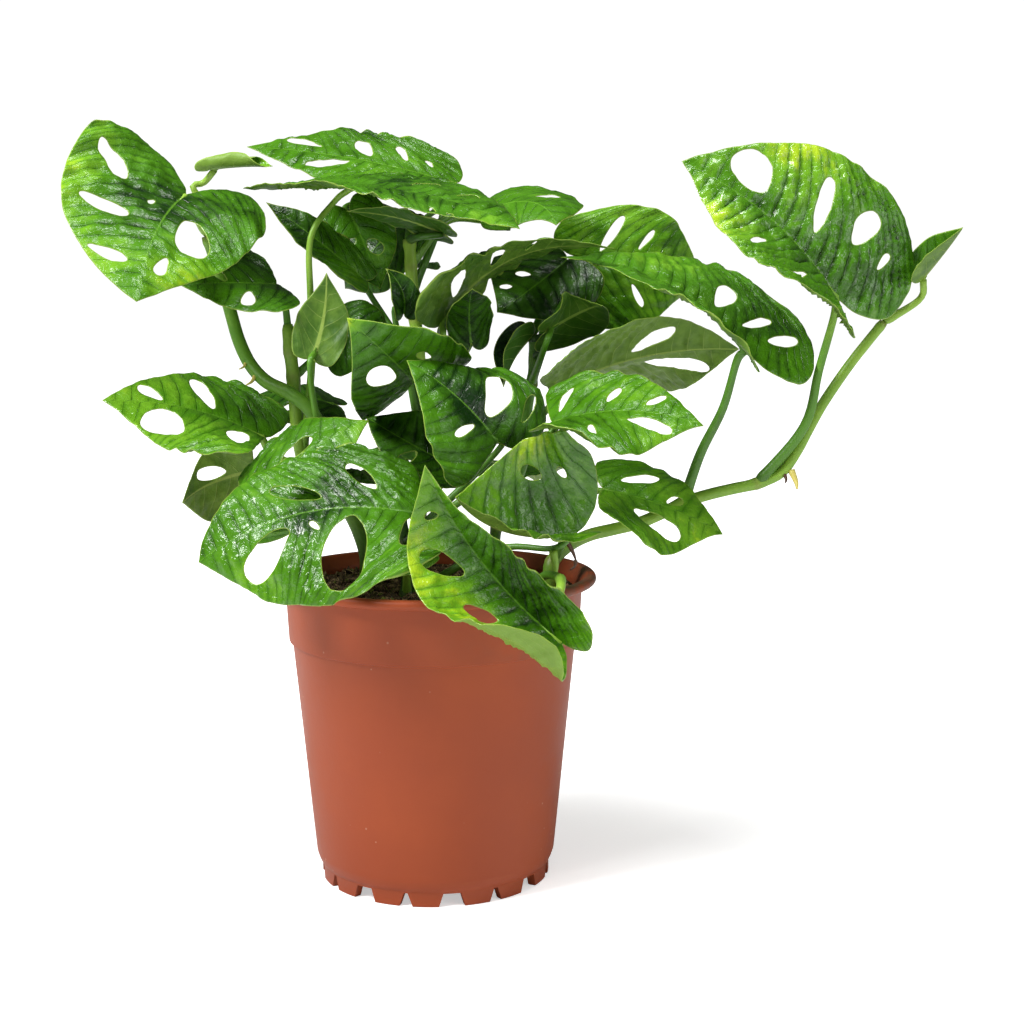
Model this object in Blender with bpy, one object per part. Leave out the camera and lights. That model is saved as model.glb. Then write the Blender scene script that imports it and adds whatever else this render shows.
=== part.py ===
# A climbing house plant with holed leaves in its plastic nursery pot.
# The numbers below are millimetres and degrees, measured from the pot's axis
# at the level of the feet: +X to the viewer's right, +Y away, +Z up.
# Blender's own unit stays the metre.

import math

import bpy
import numpy as np
from mathutils import Vector
from mathutils.geometry import delaunay_2d_cdt

MM = 0.001
GAP = 0.3

# The pot's axis stands left of the middle of the plant's bounding box, whose
# bottom centre is the origin of the model.
AXIS_FROM_ORIGIN = (-45.0, -5.4, 0.0)

# Pot: a round plastic pot with a rolled rim, a collar and a notched foot ring.
RIM_RADIUS = 85.0
POT_HEIGHT = 161.0
MOUTH_RADIUS = 78.8
COLLAR_TOP_RADIUS = 77.6
COLLAR_FOOT_RADIUS = 76.0
COLLAR_FOOT = 127.0
WALL_TOP_RADIUS = 74.2
WALL_FOOT_RADIUS = 62.6
WALL = 1.9
FOOT_RADIUS = 60.4
FOOT_WIDTH = 4.5
FOOT_HEIGHT = 8.5
FLOOR_TOP = 11.0
WIDE_NOTCH = (9.0, 13.5)
SMALL_NOTCH = (2.0, 7.0)
NOTCH_COUNT = 8
NOTCH_TURN = 7.7
DRAIN_RADIUS = 5.0
DRAIN_RING = 38.0
POT_SIDES = 40

# Soil: fills the pot up to a little below its rim.
SOIL_TOP = 149.5
SOIL_MOUND = 1.5
STEM_DEPTH = 22.0

# Leaves: thin blades with a rib, an outline with two rounded lobes and holes.
BLADE = 0.8
GRID = 13.0

# Each leaf: where its rib starts and ends, which way its upper side faces
# (turned towards +X, tilted up), the widths left and right of the rib, the
# height of the rib's arch and its sideways bow, then for (left, right) the
# fold up from the rib and the curl of the side, each at base and tip, how far
# the lobe reaches back, how far out the widest place lies, and the holes as
# (side, along the rib, out from the rib, length, width, slant).
LEFT, RIGHT = 1, -1
LEAVES = {
    "upper_left": dict(
        base=(-127, 19, 357), tip=(-141, -60, 303), face=(13, 44), width=(47, 58),
        arch=7, bow=-4, fold=((4, -25), (17, -11)), curl=((0, -29), (23, -12)),
        lobe=(0.25, 0.17), broad=(0.11, 0.07), point=0.0,
        holes=[(RIGHT, 0.15, 0.66, 24, 9, -70), (RIGHT, 0.42, 0.5, 26, 8, -88),
               (RIGHT, 0.25, 0.17, 5, 3, 20), (RIGHT, 0.72, 0.32, 21, 6, -75),
               (LEFT, 0.42, 0.36, 28, 17, 20), (LEFT, 0.72, 0.18, 14, 6, -10)]),
    "left_mid": dict(
        base=(-88, 13, 231), tip=(-172, 11, 251), face=(1, 59), width=(48, 41),
        arch=4, bow=-5, fold=((24, -7), (1, 8)), curl=((2, -11), (-21, -28)),
        lobe=(0.0, 0.05), broad=(0.27, 0.22), point=0.2,
        holes=[(RIGHT, 0.73, 0.17, 16, 6, 35), (RIGHT, 0.44, 0.38, 27, 8, 55),
               (LEFT, 0.6, 0.39, 29, 21, -40), (LEFT, 0.13, 0.36, 19, 12, -75)]),
    "left_low": dict(
        base=(-94, 22, 213), tip=(-130, -4, 199), face=(181, 28), width=(21, 28),
        arch=8, bow=-2, fold=((3, 8), (2, -1)), curl=((0, 0), (0, 0)),
        lobe=(0.0, 0.12), broad=(0.34, 0.28), point=0.5,
        holes=[(LEFT, 0.5, 0.28, 20, 8, 15)]),
    "left_front": dict(
        base=(-98, -32, 206), tip=(-32, -35, 244), face=(-25, 38), width=(27, 35),
        arch=5, bow=-1, fold=((-12, 4), (0, -7)), curl=((-29, -21), (-19, -20)),
        lobe=(0.0, 0.12), broad=(0.42, 0.24), point=0.3,
        holes=[(LEFT, 0.49, 0.16, 20, 8, 15)]),
    "front_left": dict(
        base=(-10, -68, 202), tip=(-113, -72, 179), face=(-5, 44), width=(53, 42),
        arch=17, bow=-2, fold=((29, -18), (-1, 17)), curl=((-10, -51), (-9, -51)),
        lobe=(0.03, 0.06), broad=(0.34, 0.24), point=-1.5,
        holes=[(LEFT, 0.69, 0.29, 33, 16, 28), (LEFT, 0.33, 0.52, 42, 21, 72),
               (LEFT, 0.06, 0.38, 27, 7, 70), (RIGHT, 0.5, 0.3, 27, 8, 25),
               (RIGHT, 0.2, 0.46, 19, 8, 50), (LEFT, 0.44, 0.18, 7, 3, -55)]),
    "front_hanging": dict(
        base=(60, -103, 144), tip=(-4, -113, 230), face=(-25, 16), width=(52, 23),
        arch=-8, bow=9, fold=((42, 13), (19, 42)), curl=((148, 24), (0, 0)),
        lobe=(0.1, 0.1), broad=(0.29, 0.15), point=0.5,
        holes=[(LEFT, 0.79, 0.15, 7, 4, 60), (LEFT, 0.6, 0.32, 24, 10, 30),
               (LEFT, 0.34, 0.39, 20, 8, 35)]),
    "centre_curled": dict(
        base=(70, -45, 187), tip=(10, -88, 212), face=(-11, 45), width=(17, 56),
        arch=-10, bow=1, fold=((64, 65), (31, 14)), curl=((-37, -36), (62, 55)),
        lobe=(0.14, 0.17), broad=(0.25, 0.21), point=0.4,
        holes=[(RIGHT, 0.35, 0.56, 17, 7, 10), (RIGHT, 0.08, 0.58, 9, 4, 40)]),
    "right_low": dict(
        base=(88, -13, 206), tip=(150, -14, 182), face=(5, 57), width=(32, 39),
        arch=2, bow=2, fold=((1, 10), (18, -3)), curl=((-16, -18), (2, -23)),
        lobe=(0.08, 0.06), broad=(0.26, 0.42), point=0.4,
        holes=[(LEFT, 0.27, 0.46, 22, 6, 30), (LEFT, 0.56, 0.2, 10, 6, 40),
               (RIGHT, 0.45, 0.45, 29, 14, 12)]),
    "right_front": dict(
        base=(59, -40, 243), tip=(133, -53, 242), face=(1, 61), width=(35, 40),
        arch=6, bow=3, fold=((5, 8), (28, -13)), curl=((-7, -8), (10, -41)),
        lobe=(0.02, 0.12), broad=(0.24, 0.35), point=0.5,
        holes=[(LEFT, 0.1, 0.46, 20, 4, 70), (LEFT, 0.4, 0.38, 12, 4, 60),
               (LEFT, 0.67, 0.28, 12, 4, 45), (RIGHT, 0.66, 0.24, 24, 8, 5),
               (RIGHT, 0.28, 0.66, 12, 4, 80)]),
    "right_under": dict(
        base=(66, 25, 256), tip=(161, 10, 277), face=(179, 53), width=(46, 39),
        arch=7, bow=-2, fold=((32, -19), (-9, 25)), curl=((33, -14), (-23, -18)),
        lobe=(0.04, 0.06), broad=(0.39, 0.24), point=0.0,
        holes=[(LEFT, 0.2, 0.5, 14, 6, 60), (RIGHT, 0.56, 0.3, 27, 9, 25),
               (LEFT, 0.66, 0.26, 36, 10, 12)]),
    "right_arch": dict(
        base=(162, -12, 275), tip=(68, 28, 325), face=(27, 69), width=(30, 50),
        arch=12, bow=-5, fold=((25, 3), (23, -1)), curl=((11, -16), (-14, -17)),
        lobe=(0.1, 0.22), broad=(0.24, 0.28), point=0.5,
        holes=[(RIGHT, 0.27, 0.36, 20, 10, 80), (RIGHT, 0.1, 0.4, 19, 5, 105),
               (RIGHT, -0.02, 0.48, 19, 6, 110)]),
    "upper_right": dict(
        base=(209, -7, 303), tip=(127, -6, 373), face=(-25, 46), width=(41, 60),
        arch=8, bow=-4, fold=((33, -6), (11, 12)), curl=((33, -2), (4, -25)),
        lobe=(0.14, 0.23), broad=(0.34, 0.19), point=0.1,
        holes=[(RIGHT, 0.7, 0.25, 24, 20, 30), (RIGHT, 0.36, 0.44, 32, 8, 70),
               (RIGHT, 0.16, 0.59, 21, 11, 85), (RIGHT, 0.0, 0.56, 11, 4, 80),
               (LEFT, 0.5, 0.5, 13, 4, 60), (LEFT, 0.26, 0.58, 18, 4, 65)]),
    "right_back": dict(
        base=(82, 66, 325), tip=(152, 87, 313), face=(-2, 12), width=(30, 39),
        arch=14, bow=1, fold=((7, 16), (5, 3)), curl=((-17, -7), (-14, -12)),
        lobe=(0.17, 0.05), broad=(0.39, 0.19), point=0.5,
        holes=[(LEFT, 0.19, 0.46, 23, 5, 60), (LEFT, 0.43, 0.4, 14, 3, 55),
               (RIGHT, 0.4, 0.5, 14, 4, 55)]),
    "top_right": dict(
        base=(33, 44, 352), tip=(64, 7, 341), face=(-1, 64), width=(35, 19),
        arch=5, bow=8, fold=((5, -14), (-21, -16)), curl=((-11, -27), (-32, -31)),
        lobe=(0.13, 0.12), broad=(0.31, 0.25), point=0.5,
        holes=[(LEFT, 0.4, 0.45, 13, 4, 65)]),
    "top_back": dict(
        base=(13, 78, 366), tip=(-101, 72, 385), face=(0, 55), width=(33, 37),
        arch=7, bow=4, fold=((15, -9), (0, 2)), curl=((8, -15), (-9, -12)),
        lobe=(0.12, 0.05), broad=(0.3, 0.25), point=0.4,
        holes=[(RIGHT, 0.74, 0.22, 20, 6, 5), (LEFT, 0.61, 0.27, 24, 6, 20),
               (RIGHT, 0.45, 0.34, 15, 9, 60), (RIGHT, 0.26, 0.42, 14, 6, 70),
               (RIGHT, 0.12, 0.36, 9, 4, 80), (LEFT, 0.3, 0.4, 16, 5, 60)]),
    "top_front": dict(
        base=(-44, 6, 360), tip=(43, -38, 338), face=(7, 72), width=(45, 35),
        arch=5, bow=4, fold=((2, 0), (17, -8)), curl=((-12, -26), (5, -5)),
        lobe=(0.3, 0.5), broad=(0.25, 0.25), point=0.3,
        holes=[(RIGHT, 0.6, 0.57, 7, 3, 45), (RIGHT, 0.69, 0.5, 6, 3, 35),
               (LEFT, 0.35, 0.45, 18, 5, 60), (LEFT, 0.6, 0.35, 12, 4, 50)]),
    "centre_tall": dict(
        base=(-10, -4, 261), tip=(-42, -43, 295), face=(-22, 18), width=(32, 33),
        arch=12, bow=-3, fold=((11, 4), (11, 15)), curl=((-4, -10), (0, -1)),
        lobe=(0.12, 0.12), broad=(0.21, 0.18), point=0.4,
        holes=[(LEFT, 0.45, 0.3, 20, 12, 20), (RIGHT, 0.4, 0.42, 8, 5, -30)]),
    "centre": dict(
        base=(32, -39, 233), tip=(-13, -42, 274), face=(-22, 56), width=(38, 49),
        arch=6, bow=1, fold=((0, 11), (39, -9)), curl=((-21, -12), (-66, -117)),
        lobe=(0.0, 0.24), broad=(0.13, 0.32), point=0.4,
        holes=[(RIGHT, 0.26, 0.36, 27, 14, 78), (RIGHT, 0.0, 0.52, 17, 5, 82),
               (LEFT, 0.3, 0.32, 14, 4, 70)]),
    "upper_mid_left": dict(
        base=(-81, 14, 311), tip=(-129, -4, 311), face=(0, 53), width=(29, 33),
        arch=3, bow=3, fold=((11, -2), (7, -2)), curl=((-4, -4), (-6, -17)),
        lobe=(0.05, 0.05), broad=(0.22, 0.24), point=0.4,
        holes=[(RIGHT, 0.59, 0.22, 13, 6, 65), (LEFT, 0.4, 0.55, 13, 6, 70)]),
    "left_upper": dict(
        base=(-44, 42, 349), tip=(-28, 40, 308), face=(-5, 20), width=(19, 22),
        arch=4, bow=1, fold=((10, 4), (14, 6)), curl=((-16, -8), (-20, -14)),
        lobe=(0.16, 0.16), broad=(0.27, 0.26), point=0.4,
        holes=[(RIGHT, 0.38, 0.5, 16, 6, 75), (LEFT, 0.5, 0.25, 10, 7, 30)]),
    "cross_dark": dict(
        base=(-35, 27, 313), tip=(-86, 18, 353), face=(0, 40), width=(10, 12),
        arch=3, bow=1, fold=((12, 6), (10, 4)), curl=((-12, -14), (-14, -16)),
        lobe=(0.05, 0.05), broad=(0.5, 0.5), point=-0.5,
        holes=[]),
    "top_shade": dict(
        base=(7, 4, 336), tip=(-44, 3, 348), face=(180, 70), width=(13, 12),
        arch=3, bow=1, fold=((4, 2), (4, 2)), curl=((-10, -12), (-12, -14)),
        lobe=(0.1, 0.1), broad=(0.35, 0.35), point=0.2,
        holes=[]),
    "crumpled": dict(
        base=(-15, 0, 296), tip=(-24, -4, 319), face=(20, 25), width=(8, 9),
        arch=4, bow=-2, fold=((30, 20), (25, 30)), curl=((-30, -40), (35, 20)),
        lobe=(0.1, 0.1), broad=(0.3, 0.25), point=0.4,
        holes=[]),
    "back_left": dict(
        base=(-16, 76, 345), tip=(-49, 84, 308), face=(-10, 33), width=(29, 35),
        arch=12, bow=5, fold=((16, -2), (-8, 7)), curl=((8, -12), (-26, -11)),
        lobe=(0.05, 0.13), broad=(0.32, 0.26), point=0.5,
        holes=[(RIGHT, 0.52, 0.22, 14, 6, 40)]),
    "mid_back": dict(
        base=(-50, 30, 287), tip=(-22, 27, 275), face=(-5, 25), width=(18, 26),
        arch=8, bow=1, fold=((5, -2), (0, 0)), curl=((-10, -17), (-14, -14)),
        lobe=(0.13, 0.12), broad=(0.24, 0.25), point=0.5,
        holes=[]),
    "pale_under": dict(
        base=(-61, -12, 274), tip=(-54, -4, 317), face=(180, 5), width=(14, 14),
        arch=4, bow=2, fold=((-3, 1), (-5, -1)), curl=((-15, -13), (-18, -20)),
        lobe=(0.06, 0.06), broad=(0.32, 0.32), point=0.5,
        holes=[]),
    "long_under": dict(
        base=(3, 10, 289), tip=(95, 8, 329), face=(180, 75), width=(16, 29),
        arch=17, bow=-3, fold=((3, 4), (14, -5)), curl=((-7, -12), (12, -29)),
        lobe=(0.03, 0.03), broad=(0.25, 0.22), point=0.4,
        holes=[(RIGHT, 0.2, 0.46, 19, 7, 50), (RIGHT, 0.42, 0.4, 16, 6, 55),
               (RIGHT, 0.6, 0.3, 10, 4, 50)]),
    "mid_right": dict(
        base=(73, 50, 324), tip=(34, 26, 296), face=(-5, 35), width=(30, 37),
        arch=0, bow=1, fold=((5, -12), (-12, -1)), curl=((-9, -13), (-25, -15)),
        lobe=(0.12, 0.11), broad=(0.23, 0.28), point=0.4,
        holes=[(RIGHT, 0.44, 0.3, 9, 4, 65), (RIGHT, 0.69, 0.3, 7, 4, 50)]),
    "mid_right_under": dict(
        base=(60, 14, 287), tip=(87, -4, 300), face=(177, 39), width=(19, 19),
        arch=12, bow=7, fold=((6, -3), (-7, 7)), curl=((-4, -13), (-18, -6)),
        lobe=(0.12, 0.12), broad=(0.27, 0.25), point=0.5,
        holes=[]),
    "torn": dict(
        base=(20, 12, 280), tip=(20, -22, 309), face=(7, 20), width=(12, 14),
        arch=-4, bow=0, fold=((-3, -3), (-5, 0)), curl=((-18, -17), (-20, -15)),
        lobe=(0.12, 0.12), broad=(0.29, 0.27), point=0.5,
        holes=[]),
    "left_back": dict(
        base=(-54, 58, 245), tip=(-102, 76, 247), face=(2, 58), width=(24, 23),
        arch=8, bow=4, fold=((0, 0), (-11, -4)), curl=((-14, -14), (-25, -22)),
        lobe=(0.12, 0.12), broad=(0.25, 0.25), point=0.5,
        holes=[(LEFT, 0.4, 0.45, 10, 4, 60)]),
    "centre_low": dict(
        base=(8, -6, 219), tip=(-35, 0, 243), face=(-3, 38), width=(18, 26),
        arch=8, bow=5, fold=((11, 7), (-15, 10)), curl=((-2, -5), (-32, -12)),
        lobe=(0.12, 0.12), broad=(0.27, 0.25), point=0.4,
        holes=[(LEFT, 0.4, 0.45, 12, 5, 60)]),
    "back_low": dict(
        base=(-15, 46, 216), tip=(-38, 132, 200), face=(200, 62), width=(34, 32),
        arch=9, bow=2, fold=((4, 0), (6, 0)), curl=((-12, -16), (-14, -18)),
        lobe=(0.14, 0.12), broad=(0.25, 0.22), point=0.4,
        holes=[(LEFT, 0.3, 0.48, 20, 7, 60), (RIGHT, 0.4, 0.45, 18, 7, 60),
               (LEFT, 0.58, 0.35, 12, 5, 50)]),
    "back_wide": dict(
        base=(-50, 60, 204), tip=(-110, 116, 194), face=(215, 66), width=(30, 32),
        arch=8, bow=-2, fold=((6, 0), (4, 0)), curl=((-14, -16), (-10, -18)),
        lobe=(0.12, 0.15), broad=(0.24, 0.25), point=0.4,
        holes=[(LEFT, 0.35, 0.45, 18, 6, 60), (RIGHT, 0.3, 0.48, 18, 7, 62)]),
    "back_right": dict(
        base=(30, 60, 206), tip=(62, 136, 192), face=(160, 60), width=(33, 33),
        arch=9, bow=-3, fold=((5, 0), (5, 0)), curl=((-12, -18), (-12, -16)),
        lobe=(0.13, 0.13), broad=(0.25, 0.25), point=0.4,
        holes=[(LEFT, 0.34, 0.46, 20, 7, 60), (RIGHT, 0.32, 0.47, 19, 7, 60),
               (RIGHT, 0.6, 0.35, 12, 5, 50)]),
    "back_high": dict(
        base=(-22, 88, 322), tip=(-40, 152, 308), face=(190, 60), width=(31, 33),
        arch=9, bow=2, fold=((5, 0), (5, 0)), curl=((-14, -18), (-12, -16)),
        lobe=(0.13, 0.13), broad=(0.25, 0.25), point=0.4,
        holes=[(LEFT, 0.34, 0.46, 18, 6, 60), (RIGHT, 0.36, 0.46, 18, 7, 60)]),
    "front_low": dict(
        base=(-3, -44, 179), tip=(-29, -52, 167), face=(-10, 50), width=(10, 8),
        arch=3, bow=1, fold=((4, 0), (5, 0)), curl=((-15, -18), (-12, -16)),
        lobe=(0.08, 0.08), broad=(0.28, 0.26), point=0.4,
        holes=[]),
    "dark_rolled": dict(
        base=(53, 21, 284), tip=(37, 13, 257), face=(-60, 40), width=(13, 13),
        arch=3, bow=0, fold=((50, 50), (50, 50)), curl=((30, 30), (20, 20)),
        lobe=(0.06, 0.06), broad=(0.3, 0.3), point=0.3,
        holes=[]),
    "new_left": dict(
        base=(-117, 40, 371), tip=(-83, 28, 372), face=(0, 60), width=(10, 12),
        arch=1, bow=0, fold=((0, 0), (0, 0)), curl=((250, 250), (165, 165)),
        lobe=(0.18, 0.18), broad=(0.5, 0.5), point=0.0,
        holes=[]),
    "new_right": dict(
        base=(256, 10, 312), tip=(272, -10, 340), face=(-50, 48), width=(13, 18),
        arch=-2, bow=3, fold=((50, 50), (40, 50)), curl=((10, 10), (7, 12)),
        lobe=(0.05, 0.05), broad=(0.25, 0.25), point=0.4,
        holes=[]),
}

# Stems: each rises from the soil through its points, from one radius to the
# other. Its petioles leave it at a share of its length, pass their own points
# and end under the base of the leaf that they carry, most of them from behind
# and one, with a last number of 0, from straight below.
STEMS = {
    "stem_left": dict(
        points=[(-36, 8, 172), (-46, 6, 198), (-58, 4, 235), (-69, 5, 252), (-81, 10, 257),
                (-93, 18, 265), (-102, 24, 281), (-108, 28, 302), (-113, 30, 319), (-118, 30, 336)],
        radius=(4.2, 3.3),
        petioles=[("upper_left", 0.97, []),
                  ("new_left", 0.99, [(-120, 42, 350), (-127, 44, 362)]),
                  ("left_mid", 0.3, [(-67, 9, 215)]),
                  ("pale_under", 0.2, [(-56, -6, 226), (-61, -11, 252)]),
                  ("left_low", 0.25, [(-66, 18, 206)])]),
    "stem_tall": dict(
        points=[(-30, 30, 180), (-66, 22, 215), (-72, 20, 236), (-73, 19, 256), (-75, 19, 277),
                (-76, 20, 290)],
        radius=(4.0, 3.3),
        petioles=[("upper_mid_left", 0.93, []),
                  ("top_front", 0.5, [(-63, 12, 273), (-63, 6, 305), (-62, 2, 335)]),
                  ("mid_back", 0.85, []),
                  ("left_back", 0.45, [])]),
    "stem_centre": dict(
        points=[(-8, 18, 180), (-6, 16, 208), (-6, 17, 240), (-7, 19, 271), (-9, 20, 290),
                (-11, 23, 315), (-12, 26, 334)],
        radius=(3.8, 3.0),
        petioles=[("top_back", 0.98, [(14, 42, 350)]),
                  ("back_left", 0.85, [(6, 54, 350)]),
                  ("centre_tall", 0.4, []),
                  ("left_upper", 0.97, [(-14, 46, 345), (-32, 55, 354)]),
                  ("cross_dark", 0.62, []),
                  ("top_shade", 0.97, []),
                  ("crumpled", 0.45, []),
                  ("centre_low", 0.2, []),
                  ("torn", 0.45, []),
                  ("long_under", 0.5, []),
                  ("back_high", 0.75, []),
                  ("back_low", 0.15, []),
                  ("back_wide", 0.1, []),
                  ("top_right", 0.9, [(8, 40, 344)])]),
    "stem_right": dict(
        points=[(60, -4, 163), (67, 2, 171), (77, 8, 177), (90, 12, 180), (104, 14, 183),
                (115, 15, 186), (136, 16, 196), (159, 16, 202), (176, 16, 206), (188, 15, 213),
                (197, 14, 229), (206, 14, 246), (221, 13, 269), (238, 12, 291)],
        radius=(3.7, 2.6),
        petioles=[("right_arch", 0.38, [(141, 8, 222), (151, -2, 247)], 0),
                  ("upper_right", 0.58, [(196, 8, 236), (202, 3, 266)]),
                  ("new_right", 0.99, []),
                  ("right_low", 0.08, [])]),
    "stem_right_back": dict(
        points=[(34, 34, 180), (48, 36, 212), (50, 38, 236), (54, 38, 264), (54, 36, 284)],
        radius=(3.2, 2.6),
        petioles=[("mid_right_under", 0.85, []),
                  ("right_back", 0.85, [(60, 56, 284), (70, 71, 307)]),
                  ("dark_rolled", 0.9, []),
                  ("mid_right", 0.95, []),
                  ("right_under", 0.6, []),
                  ("back_right", 0.2, [])]),
    "stem_front": dict(
        points=[(-14, -24, 176), (-17, -24, 192), (-16, -23, 208)],
        radius=(3.6, 2.8),
        petioles=[("centre", 0.6, []),
                  ("right_front", 0.5, []),
                  ("centre_curled", 0.1, [(30, -34, 178)]),
                  ("front_low", 0.1, [(-14, -38, 173)]),
                  ("front_left", 0.5, []),
                  ("left_front", 0.7, [])]),
    "stem_low": dict(
        points=[(52, -34, 160), (56, -46, 167), (62, -60, 168)],
        radius=(2.4, 2.0),
        petioles=[("front_hanging", 0.9, [(60, -84, 166)])]),
}
STEM_SIDES = 8
STEM_STEP = 14.0
PETIOLE_SIDES = 6
PETIOLE_STEP = 17.0
PETIOLE_RADIUS = (2.5, 1.5)


def clear_scene():
    for item in list(bpy.data.objects):
        bpy.data.objects.remove(item, do_unlink=True)


def make_material(name, colour, roughness):
    material = bpy.data.materials.new(name)
    material.use_nodes = True
    shader = material.node_tree.nodes["Principled BSDF"]
    shader.inputs["Base Color"].default_value = (*colour, 1.0)
    shader.inputs["Roughness"].default_value = roughness
    shader.inputs["Metallic"].default_value = 0.0
    return material


def make_object(name, points, faces, material=None):
    """Makes a mesh object from points in millimetres about the pot's axis."""
    mesh = bpy.data.meshes.new(name)
    mesh.from_pydata([Vector(p) * MM for p in points], [], [list(f) for f in faces])
    mesh.validate()
    item = bpy.data.objects.new(name, mesh)
    item.location = Vector(AXIS_FROM_ORIGIN) * MM
    bpy.context.scene.collection.objects.link(item)
    if material:
        mesh.materials.append(material)
    return item


def smooth_path(points, per_span):
    """Points of a smooth curve through the given points."""
    route = np.array(points, float)
    route = np.vstack([2 * route[0] - route[1], route, 2 * route[-1] - route[-2]])
    path = []
    for i in range(1, len(route) - 2):
        a, b, c, d = route[i - 1:i + 3]
        for step in range(per_span):
            t = step / per_span
            path.append(0.5 * (2 * b + (c - a) * t + (2 * a - 5 * b + 4 * c - d) * t * t
                               + (3 * b - a - 3 * c + d) * t ** 3))
    path.append(route[-2])
    return np.array(path)


def unit(vector):
    return vector / np.linalg.norm(vector)


def revolve(name, profile, sides, material=None):
    """A closed solid turned about the pot's axis from (radius, height) points.

    The profile runs from the axis at the bottom, round the outside, back to the axis."""
    points, rings = [], []
    for radius, height in profile:
        if radius == 0:
            rings.append([len(points)] * sides)
            points.append((0, 0, height))
            continue
        rings.append([len(points) + k for k in range(sides)])
        for k in range(sides):
            angle = 2 * math.pi * k / sides
            points.append((radius * math.cos(angle), radius * math.sin(angle), height))
    faces = []
    for low, high in zip(rings, rings[1:]):
        for k in range(sides):
            n = (k + 1) % sides
            corners = [low[k], low[n], high[n], high[k]]
            faces.append(list(dict.fromkeys(corners)))
    return make_object(name, points, faces, material)


def apply_boolean(target, tools, operation):
    """Cuts or joins a group of solids with one Boolean and removes them."""
    group = bpy.data.collections.new(target.name + "_tools")
    bpy.context.scene.collection.children.link(group)
    for tool in tools:
        group.objects.link(tool)
        tool.hide_render = True
        tool.display_type = "WIRE"
    step = target.modifiers.new("join", "BOOLEAN")
    step.operation = operation
    step.operand_type = "COLLECTION"
    step.collection = group
    step.solver = "EXACT"
    bpy.context.view_layer.update()
    shape = bpy.data.meshes.new_from_object(target.evaluated_get(bpy.context.evaluated_depsgraph_get()))
    target.modifiers.clear()
    target.data = shape
    for tool in tools:
        bpy.data.objects.remove(tool, do_unlink=True)
    bpy.data.collections.remove(group)


def notch(name, angle, bottom, top, radius):
    """A wedge that cuts the foot ring from the outside, wider at the floor."""
    across = np.array([-math.sin(angle), math.cos(angle)])
    outward = np.array([math.cos(angle), math.sin(angle)])
    points = []
    for reach in (radius - 12, radius + 8):
        for side, height in ((-bottom / 2, -1), (bottom / 2, -1), (top / 2, FOOT_HEIGHT - 1.5),
                             (-top / 2, FOOT_HEIGHT - 1.5)):
            place = outward * reach + across * side
            points.append((place[0], place[1], height))
    faces = [(3, 2, 1, 0), (4, 5, 6, 7), (0, 1, 5, 4), (1, 2, 6, 5), (2, 3, 7, 6), (3, 0, 4, 7)]
    return make_object(name, points, faces)


def cylinder(name, x, y, low, high, radius, sides=16):
    turns = [2 * math.pi * k / sides for k in range(sides)]
    points = [(x + radius * math.cos(turn), y + radius * math.sin(turn), z)
              for z in (low, high) for turn in turns]
    faces = [tuple(range(sides))[::-1], tuple(range(sides, 2 * sides))]
    faces += [(k, (k + 1) % sides, sides + (k + 1) % sides, sides + k) for k in range(sides)]
    return make_object(name, points, faces)


def wall_inside(height):
    """Radius of the pot's inner wall at a height below the collar."""
    share = (height - FLOOR_TOP) / (COLLAR_FOOT - FLOOR_TOP)
    return WALL_FOOT_RADIUS - WALL + (WALL_TOP_RADIUS - WALL_FOOT_RADIUS) * share


def build_pot():
    plastic = make_material("pot_plastic", (0.48, 0.13, 0.055), 0.45)
    collar_top = POT_HEIGHT - 4.8
    profile = [
        (0, FOOT_HEIGHT), (FOOT_RADIUS - FOOT_WIDTH, FOOT_HEIGHT), (FOOT_RADIUS - FOOT_WIDTH, 0),
        (FOOT_RADIUS, 0), (FOOT_RADIUS + 0.4, FOOT_HEIGHT - 0.5), (WALL_FOOT_RADIUS - 0.8, FOOT_HEIGHT + 1),
        (WALL_FOOT_RADIUS + 0.6, FOOT_HEIGHT + 5), (WALL_TOP_RADIUS, COLLAR_FOOT - 1),
        (COLLAR_FOOT_RADIUS, COLLAR_FOOT), (COLLAR_TOP_RADIUS, collar_top),
        (RIM_RADIUS - 1, collar_top + 0.3), (RIM_RADIUS, collar_top + 1.6),
        (RIM_RADIUS - 0.2, POT_HEIGHT - 1.2), (RIM_RADIUS - 1.4, POT_HEIGHT),
        (MOUTH_RADIUS + 1, POT_HEIGHT), (MOUTH_RADIUS, POT_HEIGHT - 1.2),
        (COLLAR_TOP_RADIUS - WALL, collar_top - 2), (COLLAR_FOOT_RADIUS - WALL, COLLAR_FOOT + 1.5),
        (wall_inside(COLLAR_FOOT), COLLAR_FOOT), (wall_inside(FLOOR_TOP), FLOOR_TOP), (0, FLOOR_TOP)]
    pot = revolve("pot", profile, POT_SIDES, plastic)
    tools = []
    for k in range(NOTCH_COUNT):
        angle = math.radians(-90 + NOTCH_TURN + 360 * k / NOTCH_COUNT)
        tools.append(notch(f"wide_{k}", angle, WIDE_NOTCH[1], WIDE_NOTCH[0], FOOT_RADIUS))
        between = angle + math.pi / NOTCH_COUNT
        tools.append(notch(f"small_{k}", between, SMALL_NOTCH[1], SMALL_NOTCH[0], FOOT_RADIUS))
        tools.append(cylinder(f"drain_{k}", DRAIN_RING * math.cos(angle), DRAIN_RING * math.sin(angle),
                              FOOT_HEIGHT - 2, FLOOR_TOP + 2, DRAIN_RADIUS, 10))
    apply_boolean(pot, tools, "DIFFERENCE")
    return pot


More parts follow.
